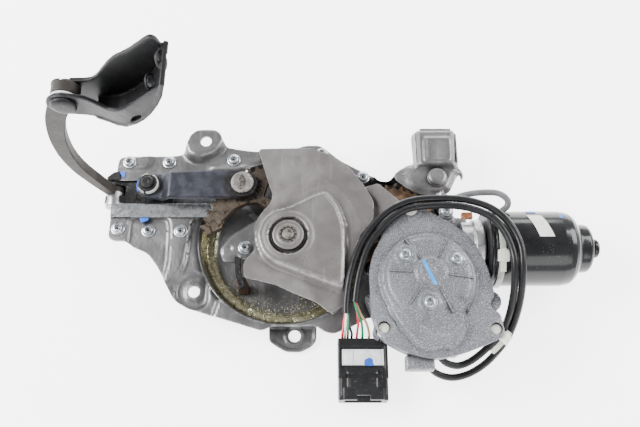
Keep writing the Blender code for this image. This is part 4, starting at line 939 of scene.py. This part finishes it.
def torx_screw(name, x, y, seat, node):
    """Flanged pan head with a six-lobed recess."""
    profile = [(0, seat - 6), (2.2, seat - 6), (2.2, seat), (5.5, seat), (5.6, seat + 0.5),
               (5.2, seat + 0.9), (4.6, seat + 1.0), (4.4, seat + 1.5), (4.1, seat + 2.4),
               (3.4, seat + 3.0), (2.6, seat + 3.2), (2.0, seat + 3.2, 1), (1.9, seat + 2.9, 1),
               (1.7, seat + 1.2, 1), (0, seat + 1.1)]
    head = lathe(name, profile, 60, star=(6, 0.17))
    dress(moved(head, x, y), "frame", "zinc", "zinc_steel", node)
    oil = lathe(name + "_recess",
                [(0, seat + 1.14), (1.1, seat + 1.14), (0.9, seat + 1.3), (0, seat + 1.34)], 20)
    dress(moved(oil, x, y), "frame", "oil", "zinc_steel")


def cross_screw(name, x, y, seat, node=None, radius=4.5):
    """Pan head with a cross recess cut in as a four-lobed well."""
    profile = [(0, seat - 4), (2.2, seat - 4), (2.2, seat), (radius, seat), (radius, seat + 0.8),
               (radius * 0.93, seat + 1.6), (radius * 0.75, seat + 2.3), (radius * 0.62, seat + 2.5),
               (radius * 0.42, seat + 2.55, 1), (radius * 0.38, seat + 2.2, 1),
               (radius * 0.25, seat + 1.0, 1), (0, seat + 0.8)]
    head = lathe(name, profile, 64, star=(4, 0.42))
    dress(moved(head, x, y, turn=(0, 0, 20)), "frame", "zinc", "zinc_steel", *([node] if node else []))
    ring = lathe(name + "_washer",
                 [(2.4, seat - 0.3), (radius + 1.1, seat - 0.3), (radius + 1.1, seat + 0.2),
                  (radius + 0.7, seat + 0.35), (2.4, seat + 0.35)], 40)
    dress(moved(ring, x, y), "frame", "zinc", "zinc_steel")


def build_screws():
    probe = pan_height(np.array(FLANGE_SCREWS, float))
    for number, ((x, y), level) in enumerate(zip(FLANGE_SCREWS, probe), 1):
        torx_screw("torx_%d" % number, x, y, level + 0.05, "flange_screw_%d" % number)
    torx_screw("torx_foot", *FOOT_SCREW, 25.6, "foot_screw")
    for number, (x, y) in enumerate(COVER_SCREWS, 1):
        cross_screw("cross_%d" % number, x, y, DOME_TOP + 1.4, "cover_screw_%d" % number)
    cross_screw("cross_flange", 124.8, 23.5, 36.0, radius=4.8)


# =============================== sector, link and slider ===============================

def build_link():
    low, high, thick = 26.0, 33.0, 5.0
    shape = rounded([(-120, 39), (-110, 38.4), (-106, 37.6), (-101, 36.2), (-38, 36.2), (-29, 38.6),
                     (-25.5, 48), (-29, 56.8), (-38, 58.8), (-101, 58.2), (-106, 58.6), (-110, 59),
                     (-120, 59), (-125, 54), (-125, 44)], 3, 4)
    bar = slab("link_bar", shape, low, low + thick, edge=0.9)
    bm = bmesh.new()
    bm.from_mesh(bar.data)
    for place in np.arange(-110, -92, 1.0):
        bmesh.ops.bisect_plane(bm, geom=bm.verts[:] + bm.edges[:] + bm.faces[:], dist=1e-6,
                               plane_co=(place * MM, 0, 0), plane_no=(1, 0, 0))
    for vert in bm.verts:
        vert.co.z += (high - low) * float(ease(vert.co.x / MM, -105.5, -96)) * MM
    bm.to_mesh(bar.data)
    bm.free()
    dress(bar, "link", "link", "link_steel", "drive_link")
    seat = low + thick
    nut = lathe("link_collar",
                [(5.2, seat + 0.1), (9.4, seat + 0.1), (9.4, seat + 0.7), (8.2, seat + 1.0),
                 (7.8, seat + 4.4), (7.0, seat + 5.2), (5.2, seat + 5.2)], 48, soft=0.25)
    dress(moved(nut, *STUD), "link", "dark", "link_steel", "link_nut")
    stud = lathe("stud_end",
                 [(0, 24.3), (7.4, 24.3), (7.4, 25.7), (5, 25.7), (5, 38.0), (4.2, 39.2), (1.4, 39.2),
                  (1.0, 38.8), (0, 38.8)], 40)
    dress(moved(stud, *STUD), "link", "dark", "link_steel", "link_stud")
    ring = []
    for first, last, look in ((-95, 35, "paint"), (40, 62, "paint"), (-150, -110, "paint"),
                              (95, 130, "paint"),
                              (150, 215, "blue"), (100, 128, "blue")):
        outer = 8.5 if look == "paint" else 10.0
        inner = 7.7 if look == "paint" else 8.9
        top = seat + (4.9 if look == "paint" else 0.9)
        outline = arc(*STUD, outer, first, last, 14) + arc(*STUD, inner, last, first, 14)
        ring.append((look, slab("mark", outline, top - 3.5, top, edge=0.3)))
    for look, name in (("paint", "white_marks"), ("blue", "blue_marks")):
        found = [piece for kind, piece in ring if kind == look]
        marks = joined(*found)
        marks.name = name
        dress(marks, "link", look, "link_steel")


def build_sector():
    keep("sector_gear", "sector", 0.45)
    keep("sector_bush", "bronze")
    keep("idler_gear", "idler", 0.25)
    keep("idler_pin", "rivet")
    keep("output_shaft", "sector", 0.2)
    top = 38.4
    pin = lathe("crank_rivet",
                [(0, 24.2), (5, 24.2), (5, 31.4), (8, 31.4), (8, 32.6), (5, 32.6), (5, top), (9.2, top),
                 (9.2, top + 1.4), (8.6, top + 2.3), (7.6, top + 2.5), (7.0, top + 2.2), (0, top + 2.3)],
                64, soft=0.35)
    dress(moved(pin, *CRANK), "sector", "rivet", "zinc_steel", "crank_pin")
    random.seed(4)
    lumps = []
    for _ in range(40):
        angle = random.uniform(-2.4, 1.5)
        reach = random.uniform(11.2, 14.6)
        size = random.uniform(0.7, 1.7)
        lump = lathe("lump", [(0, 0), (size, 0), (size * 0.8, size * 0.5), (0, size * 0.7)], 10, soft=0.3)
        lumps.append(moved(lump, CRANK[0] + reach * math.cos(angle), CRANK[1] + reach * math.sin(angle),
                           30.9))
    outline = []
    for a in np.linspace(0, 2 * math.pi, 72, endpoint=False):
        reach = 12.6 + 0.9 * math.sin(5 * a) + 0.6 * math.cos(11 * a)
        outline.append((CRANK[0] + reach * math.cos(a), CRANK[1] + reach * math.sin(a)))
    collar = slab("grease_collar", outline, 30.9, 33.2, edge=0.9)
    grease = joined(collar, *lumps)
    dress(grease, "sector", "oil", "hardened_steel")


def build_slider():
    slider = softened("slider", "slider_block", 0.55, 4)
    dress(slider, "slider", "dark", "zinc_steel", "slider_block")
    boss = lathe("slider_boss", [(4.4, -48), (7.6, -48), (7.6, -36), (6.9, -35.2), (4.4, -35.2)], 40,
                 soft=0.5)
    plate = slab("slider_face",
                 rounded([(-153.4, 8.6), (-135.4, 8.6), (-135.4, 18), (-141, 20.4), (-146, 21.4),
                          (-151, 20.4), (-153.4, 18)], 2), 37.6, 38.4, [circle(*ARM_PIVOT, 4.4, 32)], 0.2)
    dress(joined(along_y(boss, ARM_PIVOT[0], 0, ARM_PIVOT[1]), stood_up(plate)), "slider", "collar",
          "zinc_steel")
    pin = lathe("arm_rivet", [(0, -60.6), (4, -60.6), (4, -38), (4.2, -34.9), (0, -34.7)], 40, soft=0.3)
    dress(along_y(pin, ARM_PIVOT[0], 0, ARM_PIVOT[1]), "slider", "collar", "zinc_steel", "arm_pin")
    # a matte black rounded lump at the slot's far edge, beside the slider's left end
    black_lump_piece = slab("black_lump",
                rounded([(-152.5, 57.8), (-151.9, 60.5), (-147, 64.5), (-142.8, 65.5), (-141.3, 57.8)],
                        1.6), 12, 23.2, edge=1.6, segments=4)
    dress(black_lump_piece, "frame", "black_lump_look", "rubber")
    dab = slab("slider_dab", rounded([(-142.9, 65), (-138.2, 65.5), (-137.6, 61.3), (-139.5, 59.7)], 1),
               FLANGE_TOP + 0.1, FLANGE_TOP + 0.45, edge=0.15)
    dress(dab, "frame", "blue", "stamped_steel")


# =============================== lift arm and hinge bracket ===============================

ARM_MIDDLE = [(-146, 15), (-150, 27), (-155, 44), (-160, 64), (-162, 84), (-161, 104), (-157, 126),
              (-149, 149), (-135, 173)]
ARM_WIDTHS = [7, 8, 9, 9.6, 10.2, 11, 12, 13.5, 15]


def build_arm():
    middle = smooth_path([(*p, 0) for p in ARM_MIDDLE], 8)
    left, right = [], []
    for i in range(6, len(middle) - 6):
        along = middle[i + 1] - middle[i - 1]
        side = Vector((-along.y, along.x, 0)).normalized()
        width = np.interp(i / (len(middle) - 1), np.linspace(0, 1, len(ARM_WIDTHS)), ARM_WIDTHS) / 2
        left.append(tuple((middle[i] + side * width)[:2]))
        right.append(tuple((middle[i] - side * width)[:2]))
    outline = left + arc(*GATE_PIVOT, 9, 197, -77, 28) + right[::-1] + arc(*ARM_PIVOT, 7, 73, -217, 24)
    arm = slab("arm_bar", outline, RAIL_Y - 4, RAIL_Y + 4,
               [circle(*ARM_PIVOT, 4.3, 32), circle(*GATE_PIVOT, 5.3, 32)], edge=1.0)
    dress(stood_up(arm), "arm", "arm", "arm_steel", "lift_arm")
    washer = lathe("washer", [(5.4, -44.7), (8.7, -44.7), (8.7, -43.7), (5.4, -43.7)], 48, soft=0.2)
    dress(along_y(washer, GATE_PIVOT[0], 0, GATE_PIVOT[1]), "arm", "white", "white_plastic", "pin_washer")


def build_hinge_bracket():
    rings = []
    for x, y, z in ((-67.5, 50.0, 205.0), (-78.5, 49.0, 183.0)):
        ring = lathe("hole_ring", [(3.7, -1.6), (6.2, -1.6), (5.8, 0.5), (4.2, 0.8), (3.7, 0.3)], 36)
        rings.append(moved(ring, x - 1.4, y, z + 0.6, (0, -112, 0)))
    bracket = softened("gate_bracket", "hinge_bracket", 0.62, 7, rings)
    dress(bracket, "bracket", "bracket", "black_paint", "hinge_bracket")
    face = -39.75
    pin = lathe("gate_rivet",
                [(0, -56), (5, -56), (5, face), (8.2, face), (8.3, face + 1.2), (7.5, face + 2.3),
                 (5.4, face + 3.0), (0, face + 3.3)], 56, soft=0.7)
    dress(along_y(pin, GATE_PIVOT[0], 0, GATE_PIVOT[1]), "bracket", "bracket", "black_paint", "gate_pin")


# =============================== gear case and clutch cover ===============================

CASE = [(87, 22), (95, 24.5), (102, 21), (123, 9), (136, -1), (145, -14), (150, -30), (153, -49),
        (149, -55), (150, -59), (156, -63), (158, -79), (147, -84), (129, -91), (113, -95), (101, -95),
        (86, -91), (70, -82), (62, -67), (61, -30), (64, -18), (73, 0)]
LOBE = [(73, -55), (80, -69), (97, -90), (123, -88), (131, -76), (129, -69), (131, -60), (139, -47),
        (134, -30), (100, -30)]
LOBE_STEP = [(100, -66), (97, -70), (99, -76), (117, -80), (128, -70), (134, -56), (126, -50), (104, -52)]


def cover_top(points):
    rim = away(points, rounded(CASE, 5))
    disc = span(points, CLUTCH[0] - 1.6, CLUTCH[1] - 3.5)
    level = 51.0 + 1.2 * ease(rim, 0, 1.6)
    level += 4.8 * ease(-disc, -36.4, -34.0)
    level = np.maximum(level, 52.2 + 3.9 * within(points, LOBE, 7, -0.8, 1.6))
    level -= 1.8 * within(points, LOBE_STEP, 5, -0.8, 1.0) * ease(disc, 22, 27)
    level += 1.0 * ease(-disc, -31, -29.4)
    for cx, cy in COVER_SCREWS:
        level += 0.9 * ease(span(points, cx, cy), 8.6, 7.2) - 0.4 * ease(span(points, cx, cy), 5.6, 5.0)
    for cx, cy in CASE_EARS:
        level += 0.8 * ease(span(points, cx, cy), 9.0, 7.8) * ease(rim, 0, 1.5)
    level += 1.8 * near(points, CLUTCH, 12.4, 10.4)
    level -= 0.5 * near(points, CLUTCH, 8.4, 7.4)
    return level


def build_clutch_cover():
    holes = [circle(x, y, 4.5, 32) for x, y in CASE_EARS]
    cover = pressed("cast_cover", rounded(CASE, 5), cover_top, 1.05, holes, base=CASE_TOP)
    ribs = []
    for angle, first, last in ((125, 13, 32), (62, 13, 28), (178, 14, 31), (352, 13, 31), (235, 15, 30),
                               (295, 14, 33)):
        rib = block("rib", first, last, -0.5, 0.5, 55, DOME_TOP + 1.75, 0.2)
        ribs.append(moved(moved(rib, turn=(0, 0, angle)), *CLUTCH))
    for x, y, turn in ((112, -84, 8), (120, -82, -20)):
        ribs.append(moved(block("rib", -0.5, 0.5, -5, 4, 52, 55.9, 0.2), x, y, 0, (0, 0, turn)))
    dress(joined(cover, *ribs), "frame", "cast", "cast_alloy", "clutch_cover")
    plugs = [moved(lathe("ear_plug_low", [(0, 40), (4.2, 40), (4.2, 49.6), (3.6, 50.2), (0, 50.2)], 32),
                   x, y) for x, y in CASE_EARS[:2]]
    dress(joined(*plugs), "frame", "nylon", "white_plastic")
    outline = rounded([(99.4, -24.5), (101.8, -23.2), (110.4, -43), (107.6, -43.6)], 0.8)
    dash = pressed("pen_dash", outline, lambda p: cover_top(p) + 0.12, 0.9, thickness=0.3)
    dress(dash, "frame", "pen", "cast_alloy")


def build_case():
    extra = [
        moved(lathe("boss", [(0, 30), (8, 30), (8, 47), (6.5, 48), (0, 48)], 28), 151, -52, 0),
        moved(lathe("boss", [(0, 22), (6, 22), (6, 44), (0, 44)], 28), 124.8, 20, -9),
        block("tab", 86, 107, -102.5, -92, 36, 47.4, 1.5),
        moved(block("web", -3, 3, -14, 14, 24, 40, 1), 66, -58, 0, (0, 0, 20)),
        block("shelf", 112, 141, 6, 20, 26, 34, 2)]
    case = softened("cast_case", "gear_case", 0.95, 3, extra)
    dress(case, "frame", "cast", "cast_alloy", "gear_case")
    collar = lathe("motor_collar",
                   [(6.8, 134), (19.5, 134), (20.6, 135.4), (20.6, 142), (22.6, 143.2), (22.6, 149.4),
                    (21.4, 150.6), (6.8, 150.6)], 72, soft=0.7)
    dress(along_x(collar, 0, MOTOR_Y, MOTOR_Z), "frame", "collar", "cast_alloy")
    keep("cable_gland", "rubber")
    for node, look, slot in (("clutch_coil", "copper", "copper"), ("clutch_rotor", "zinc", "zinc_steel"),
                             ("clutch_plate", "zinc", "zinc_steel"), ("worm_wheel", "white",
                                                                      "white_plastic"),
                             ("shaft_bearing", "zinc", "zinc_steel"), ("worm", "zinc", "zinc_steel"),
                             ("motor_shaft", "zinc", "zinc_steel"), ("armature_core", "copper", "copper"),
                             ("commutator", "copper", "copper"), ("ring_magnet", "rubber", "rubber"),
                             ("brush_carrier", "plastic", "black_plastic")):
        keep(node, look, 0)


# =============================== motor ===============================

def build_motor():
    start = MOTOR_START + 1.6
    outside = [(27.4, start), (CAN_R, start), (CAN_R, start + 1.6), (CAN_R - 0.7, start + 2.0),
               (CAN_R - 0.7, start + 3.0), (CAN_R, start + 3.4), (CAN_R, start + 4.4),
               (CAN_R - 0.6, start + 4.8), (CAN_R - 0.2, start + 5.6), (CAN_R - 0.2, 209),
               (CAN_R - 0.6, 213), (28.2, 216.6), (26.2, 219.6), (23.5, 221.8), (20.4, 223),
               (19.4, 223.6), (19.2, 226), (18.8, 231.2), (17.4, 233.4), (14, 234.6), (9.2, 235.2),
               (7.2, 235.4), (6.6, 236.4), (7.0, 237.4), (7.6, 238.2), (7.4, 241), (6, 242.4), (0, 242.5)]
    inside = [(0, 236), (15.5, 224), (22, 221.5), (27.4, 211)]
    can = lathe("motor_body", outside + inside, 96, soft=0.5)
    dress(along_x(can, 0, MOTOR_Y, MOTOR_Z), "frame", "can", "black_paint", "motor_can")
    patches = [("label_blank", "label", 182.5, 193.5, 50, 91, 0.25),
               ("dab_1", "blue", 184, 191, 33, 40, 0.2),
               ("dab_2", "blue", 207.5, 210.8, 47, 55, -0.2)]
    rows, columns = 14, 6
    for name, look, x0, x1, first, last, lift in patches:
        slant = 9 if name == "label_blank" else 0
        bm = bmesh.new()
        outer = []
        for angle in np.radians(np.linspace(first, last, rows)):
            for x in np.linspace(x0, x1, columns):
                shifted = x + slant * (angle - math.radians(first))
                outer.append(bm.verts.new((shifted * MM, (MOTOR_Y + (CAN_R + lift) * math.cos(angle)) * MM,
                                           (MOTOR_Z + (CAN_R + lift) * math.sin(angle)) * MM)))
        for i in range(rows - 1):
            for k in range(columns - 1):
                corner = i * columns + k
                bm.faces.new([outer[corner], outer[corner + 1], outer[corner + columns + 1],
                              outer[corner + columns]])
        bmesh.ops.recalc_face_normals(bm, faces=bm.faces)
        for vert in thickened(bm):
            flat = Vector((0, vert.co.y - MOTOR_Y * MM, vert.co.z - MOTOR_Z * MM))
            vert.co -= flat.normalized() * 0.3 * MM
        dress(made(bm, name), "frame", look, "white_plastic" if look == "label" else "black_paint")
    terminal = block("terminal", 134.3, 142.5, 13.5, 18, 44, 49.5, 0.6)
    dress(terminal, "frame", "copper", "copper")


# =============================== cables, wires and ties ===============================

def build_cables():
    wires = build_wires()
    plug = build_connector()
    for name, points, extra in (("sheath_a", CABLE_A, wires[:3]), ("sheath_b", CABLE_B, wires[3:] + plug)):
        sheath = tube(name, points, CABLE_D)
        node = "cable_a" if name == "sheath_a" else "cable_b"
        dress(sheath, "frame", "sheath", "black_plastic", node)


WIRES = [
    ("wire_green_1", "green", (50.2, -51.5, 47.2), 57.0, 1),
    ("wire_red_1", "red", (51.2, -52.0, 46.2), 52.8, 1),
    ("wire_beige", "beige", (51.4, -51.6, 45.6), 62.0, 1),
    ("wire_red_2", "red", (42.6, -60.0, 46.6), 41.6, 0),
    ("wire_pale", "pale", (43.4, -60.4, 47.3), 43.6, 0),
    ("wire_green_2", "green", (44.6, -60.0, 46.6), 45.8, 0),
    ("wire_black", "black", (44.0, -60.0, 45.4), 48.8, 0)]


def build_wires():
    made_wires = []
    back = CONNECTOR[1] + 24
    stands_for = {"wire_pale": "wire_1", "wire_red_1": "wire_2"}
    for name, look, start, end_x, bow in WIRES:
        x, y, z = start
        middle_y = (y + back) / 2
        points = [(x, y, z), (x + 0.3, y - 3.0, z - 0.6),
                  ((x * 2 + end_x) / 3 + bow * 0.6, middle_y + 1.5, z - 6),
                  ((x + end_x * 2) / 3 + bow, middle_y - 2.5, z * 0.5 + 9),
                  (end_x, back + 3.2, z * 0.2 + 12), (end_x, back + 0.5, 14.6), (end_x, back - 3.5, 13.2)]
        wire = tube(name, points, 1.9, 8, 4)
        dress(wire, "frame", look, "red_plastic" if look == "red" else "white_plastic",
              *([stands_for[name]] if name in stands_for else []))
        made_wires.append(wire)
    return made_wires


def build_connector():
    x, y, z = CONNECTOR
    top, half = z + 10, 18.9
    shell = [block("shell", x - half + 0.4, x + half - 0.4, y - 22, y + 24, z - 10, top - 1.2, 1.2),
             block("roof", x - half + 1.8, x + half - 1.8, y - 20, y + 1.4, top - 2, top - 0.1, 0.8),
             block("step", x - half + 4, x + half - 4, y - 21.9, y - 13, top - 1.5, top + 0.5, 0.5),
             block("lip", x - half, x + half, y + 17.2, y + 24, z - 10, top, 1.0)]
    for side in (-1, 1):
        inner, outer = sorted((side * (half - 2.7), side * half))
        shell.append(block("side", x + inner, x + outer, y - 6, y + 23, z - 9, top + 0.2, 0.8))
        middle = side * (half - 0.7)
        shell.append(block("rail", x + middle - 0.7, x + middle + 0.7, y - 21, y - 8, z - 4, z + 4, 0.4))
        shell.append(block("rib", x + side * 11 - 0.8, x + side * 11 + 0.8, y - 20, y - 1, top - 1,
                           top + 0.6, 0.4))
    body = joined(*shell)
    body.name = "socket"
    cutters = [block("mouth", x - 14, x + 14, y - 30, y - 15, z - 6.5, z + 6.2, 0.5),
               block("notch", x - 5, x + 5, y - 30, y - 18.5, z + 4, top + 5, 0.5),
               block("key", x - 14, x + 14, y - 6, y - 3.2, top - 1, top + 3, 0.3)]
    body = melted(body, 0.55, 2)
    for cutter in cutters:
        step = body.modifiers.new("cut", "BOOLEAN")
        step.operation = "DIFFERENCE"
        step.solver = "EXACT"
        step.object = cutter
        applied(body)
        bpy.data.objects.remove(cutter)
    dress(body, "frame", "plastic", "black_plastic", "connector_housing")
    lock = joined(block("lock_bar", x - 15.8, x + 15.8, y + 3.4, y + 15.4, z + 6, top + 0.7, 0.7),
                  block("lock_rib", x - 13.6, x - 7.4, y + 4.4, y + 14.4, top, top + 1.2, 0.4),
                  block("lock_rib", x + 7.4, x + 13.6, y + 4.4, y + 14.4, top, top + 1.2, 0.4))
    dress(lock, "frame", "white", "white_plastic", "connector_lock")
    dab = slab("lock_dab",
               rounded([(x + 0.5, y + 3.0), (x + 7.4, y + 2.6), (x + 8.4, y + 6), (x + 5.5, y + 9.2),
                        (x + 1, y + 7.6)], 2), top + 0.6, top + 0.98, edge=0.15)
    dress(dab, "frame", "blue", "white_plastic")
    return [body, lock]


def ring_tie(name, rx, rz, width):
    """An oval nylon band standing in the XZ plane; its ratchet head is joined on by the caller."""
    band = lathe("band", [(1.0, -width / 2), (1.0, width / 2), (0.9, width / 2), (0.9, -width / 2)][::-1],
                 60, soft=0)
    for vert in band.data.vertices:
        radial = vert.co.xy.length / MM
        grow = 0.0 if radial > 0.95 else -1.1
        angle = math.atan2(vert.co.y, vert.co.x)
        vert.co.x = (rx + grow) * math.cos(angle) * MM
        vert.co.y = (rz + grow) * math.sin(angle) * MM
    band.name = name
    return moved(band, turn=(90, 0, 0))


def build_ties():
    inner = CAN_R + 0.3
    band = along_x(lathe("tie_band",
                         [(inner, -2.2), (inner + 1.2, -2.2), (inner + 1.2, 2.2), (inner, 2.2)], 96,
                         soft=0.2))
    ridges = [moved(block("ridge", -1.5, 1.5, -0.35, 0.35, inner + 0.9, inner + 1.5, 0.12),
                    turn=(k * 3.2, 0, 0)) for k in range(-16, 12)]
    tie = joined(band, *ridges)
    tie.name = "motor_band"
    moved(moved(tie, turn=(TIE_TURN, 0, 0)), TIE_X, MOTOR_Y, MOTOR_Z)
    dress(tie, "frame", "ridge", "white_plastic", "motor_tie")
    head = joined(block("head", -4, 4, -4.2, 4.2, inner + 0.4, inner + 5.2, 0.8),
                  block("pawl", -2, 2, -5.2, 5.4, inner + 2.2, inner + 4.2, 0.5),
                  block("tail", -2, 2, -12, -3, inner + 2.4, inner + 3.6, 0.3))
    head.name = "tie_head"
    dress(moved(moved(head, turn=(TIE_TURN, 0, 0)), TIE_X, MOTOR_Y, MOTOR_Z), "frame", "nylon",
          "white_plastic")
    plug = joined(lathe("ear_plug", [(0, 40), (4.1, 40), (4.1, 50.4), (5.4, 51.9), (5.4, 53), (3.4, 54),
                                     (0, 54)], 32),
                  block("plug_head", -3.4, 3.4, -2.4, 2.4, 53, 57, 0.8),
                  block("plug_tail", -1.6, 1.6, 2, 8, 53.6, 55, 0.4))
    plug.name = "ear_tie_top"
    dress(moved(plug, *CASE_EARS[2], turn=(0, 0, -35)), "frame", "nylon", "white_plastic")
    loop = ring_tie("ear_tie_side", 9.6, 14.5, 3.6)
    loop = joined(loop, block("knob", -3.6, 3.6, -3.4, 3.4, 12.3, 17.1, 0.8))
    dress(moved(moved(loop, turn=(0, 0, 48)), 158.8, -80.0, 33.5), "frame", "nylon", "white_plastic")


def build_leads():
    """Sleeved motor leads that arch from the brush end to the case."""
    sleeve = tube("lead_sleeve", LEADS, 5.0)
    dress(sleeve, "frame", "sleeve", "black_plastic")


# =============================== stage ===============================

FLOOR_GLOW = 3.4                       # keeps the floor white under the view transform
SKY_BELOW, SKY_ABOVE = 1.55, 0.6       # strength of the world's light near the horizon and overhead
CAMERA_PLACE, CAMERA_AIM, CAMERA_LENS = (24.5, -186.2, 551.7), (24.5, 36.7, 0.0), 39.4
LIGHTS = [("key", (-0.95, 0.15, 0.85), (0, 0, 0.02), (0.7, 0.5), 36),
          ("right", (0.95, 0.35, 0.75), (0.02, 0, 0), (0.7, 0.4), 15),
          ("fill", (0.5, -1.0, 0.7), (0.05, 0, 0.03), (0.8, 0.6), 6),
          ("back", (0.2, 1.3, 0.45), (0.05, 0, 0.03), (0.9, 0.3), 9)]


def area_light(name, place, aim, size, power):
    light = bpy.data.lights.new(name, "AREA")
    light.shape = "RECTANGLE"
    light.size, light.size_y = size
    light.energy = power
    lamp = bpy.data.objects.new(name, light)
    lamp.location = place
    lamp.rotation_euler = (Vector(aim) - Vector(place)).to_track_quat("-Z", "Y").to_euler()
    bpy.context.collection.objects.link(lamp)


def build_stage():
    bm = bmesh.new()
    bmesh.ops.create_grid(bm, x_segments=2, y_segments=2, size=4.0)
    floor = made(bm, "floor")
    floor.location.z = -0.0004
    paint = Paint("floor_white", 0.6, 0.0)
    paint.shader.inputs["Emission Color"].default_value = (1.0, 1.0, 1.0, 1.0)
    paint.shader.inputs["Emission Strength"].default_value = FLOOR_GLOW
    white = paint.mix(paint.noise(60, 3), (0.86, 0.86, 0.86), (0.885, 0.885, 0.885))
    floor.data.materials.append(paint.done(white))
    world = bpy.data.worlds.new("studio")
    world.use_nodes = True
    tree = world.node_tree
    place = tree.nodes.new("ShaderNodeTexCoord")
    split = tree.nodes.new("ShaderNodeSeparateXYZ")
    ramp = tree.nodes.new("ShaderNodeMapRange")
    ramp.inputs["From Min"].default_value = 0.25
    ramp.inputs["From Max"].default_value = 0.95
    ramp.inputs["To Min"].default_value = SKY_BELOW
    ramp.inputs["To Max"].default_value = SKY_ABOVE
    tree.links.new(place.outputs["Generated"], split.inputs[0])
    tree.links.new(split.outputs["Z"], ramp.inputs["Value"])
    tree.links.new(ramp.outputs[0], tree.nodes["Background"].inputs["Strength"])
    tree.nodes["Background"].inputs["Color"].default_value = (0.96, 0.98, 1.0, 1.0)
    bpy.context.scene.world = world
    for light in LIGHTS:
        area_light(*light)


def build_camera():
    """Looks down at 68 degrees, as in the reference view."""
    place = Vector(CAMERA_PLACE) * MM
    target = Vector(CAMERA_AIM) * MM
    camera = bpy.data.cameras.new("camera")
    camera.lens = CAMERA_LENS
    camera.clip_start = 0.01
    holder = bpy.data.objects.new("camera", camera)
    holder.location = place
    holder.rotation_euler = (target - place).to_track_quat("-Z", "Y").to_euler()
    bpy.context.collection.objects.link(holder)
    bpy.context.scene.camera = holder


build_camera()
build_cables()
build_leads()
build_pan()
build_rail()
build_bracket()
build_gear_cover()
build_hub()
build_foot()
build_screws()
build_link()
build_sector()
build_slider()
build_arm()
build_hinge_bracket()
build_clutch_cover()
build_case()
build_motor()
build_ties()
build_stage()
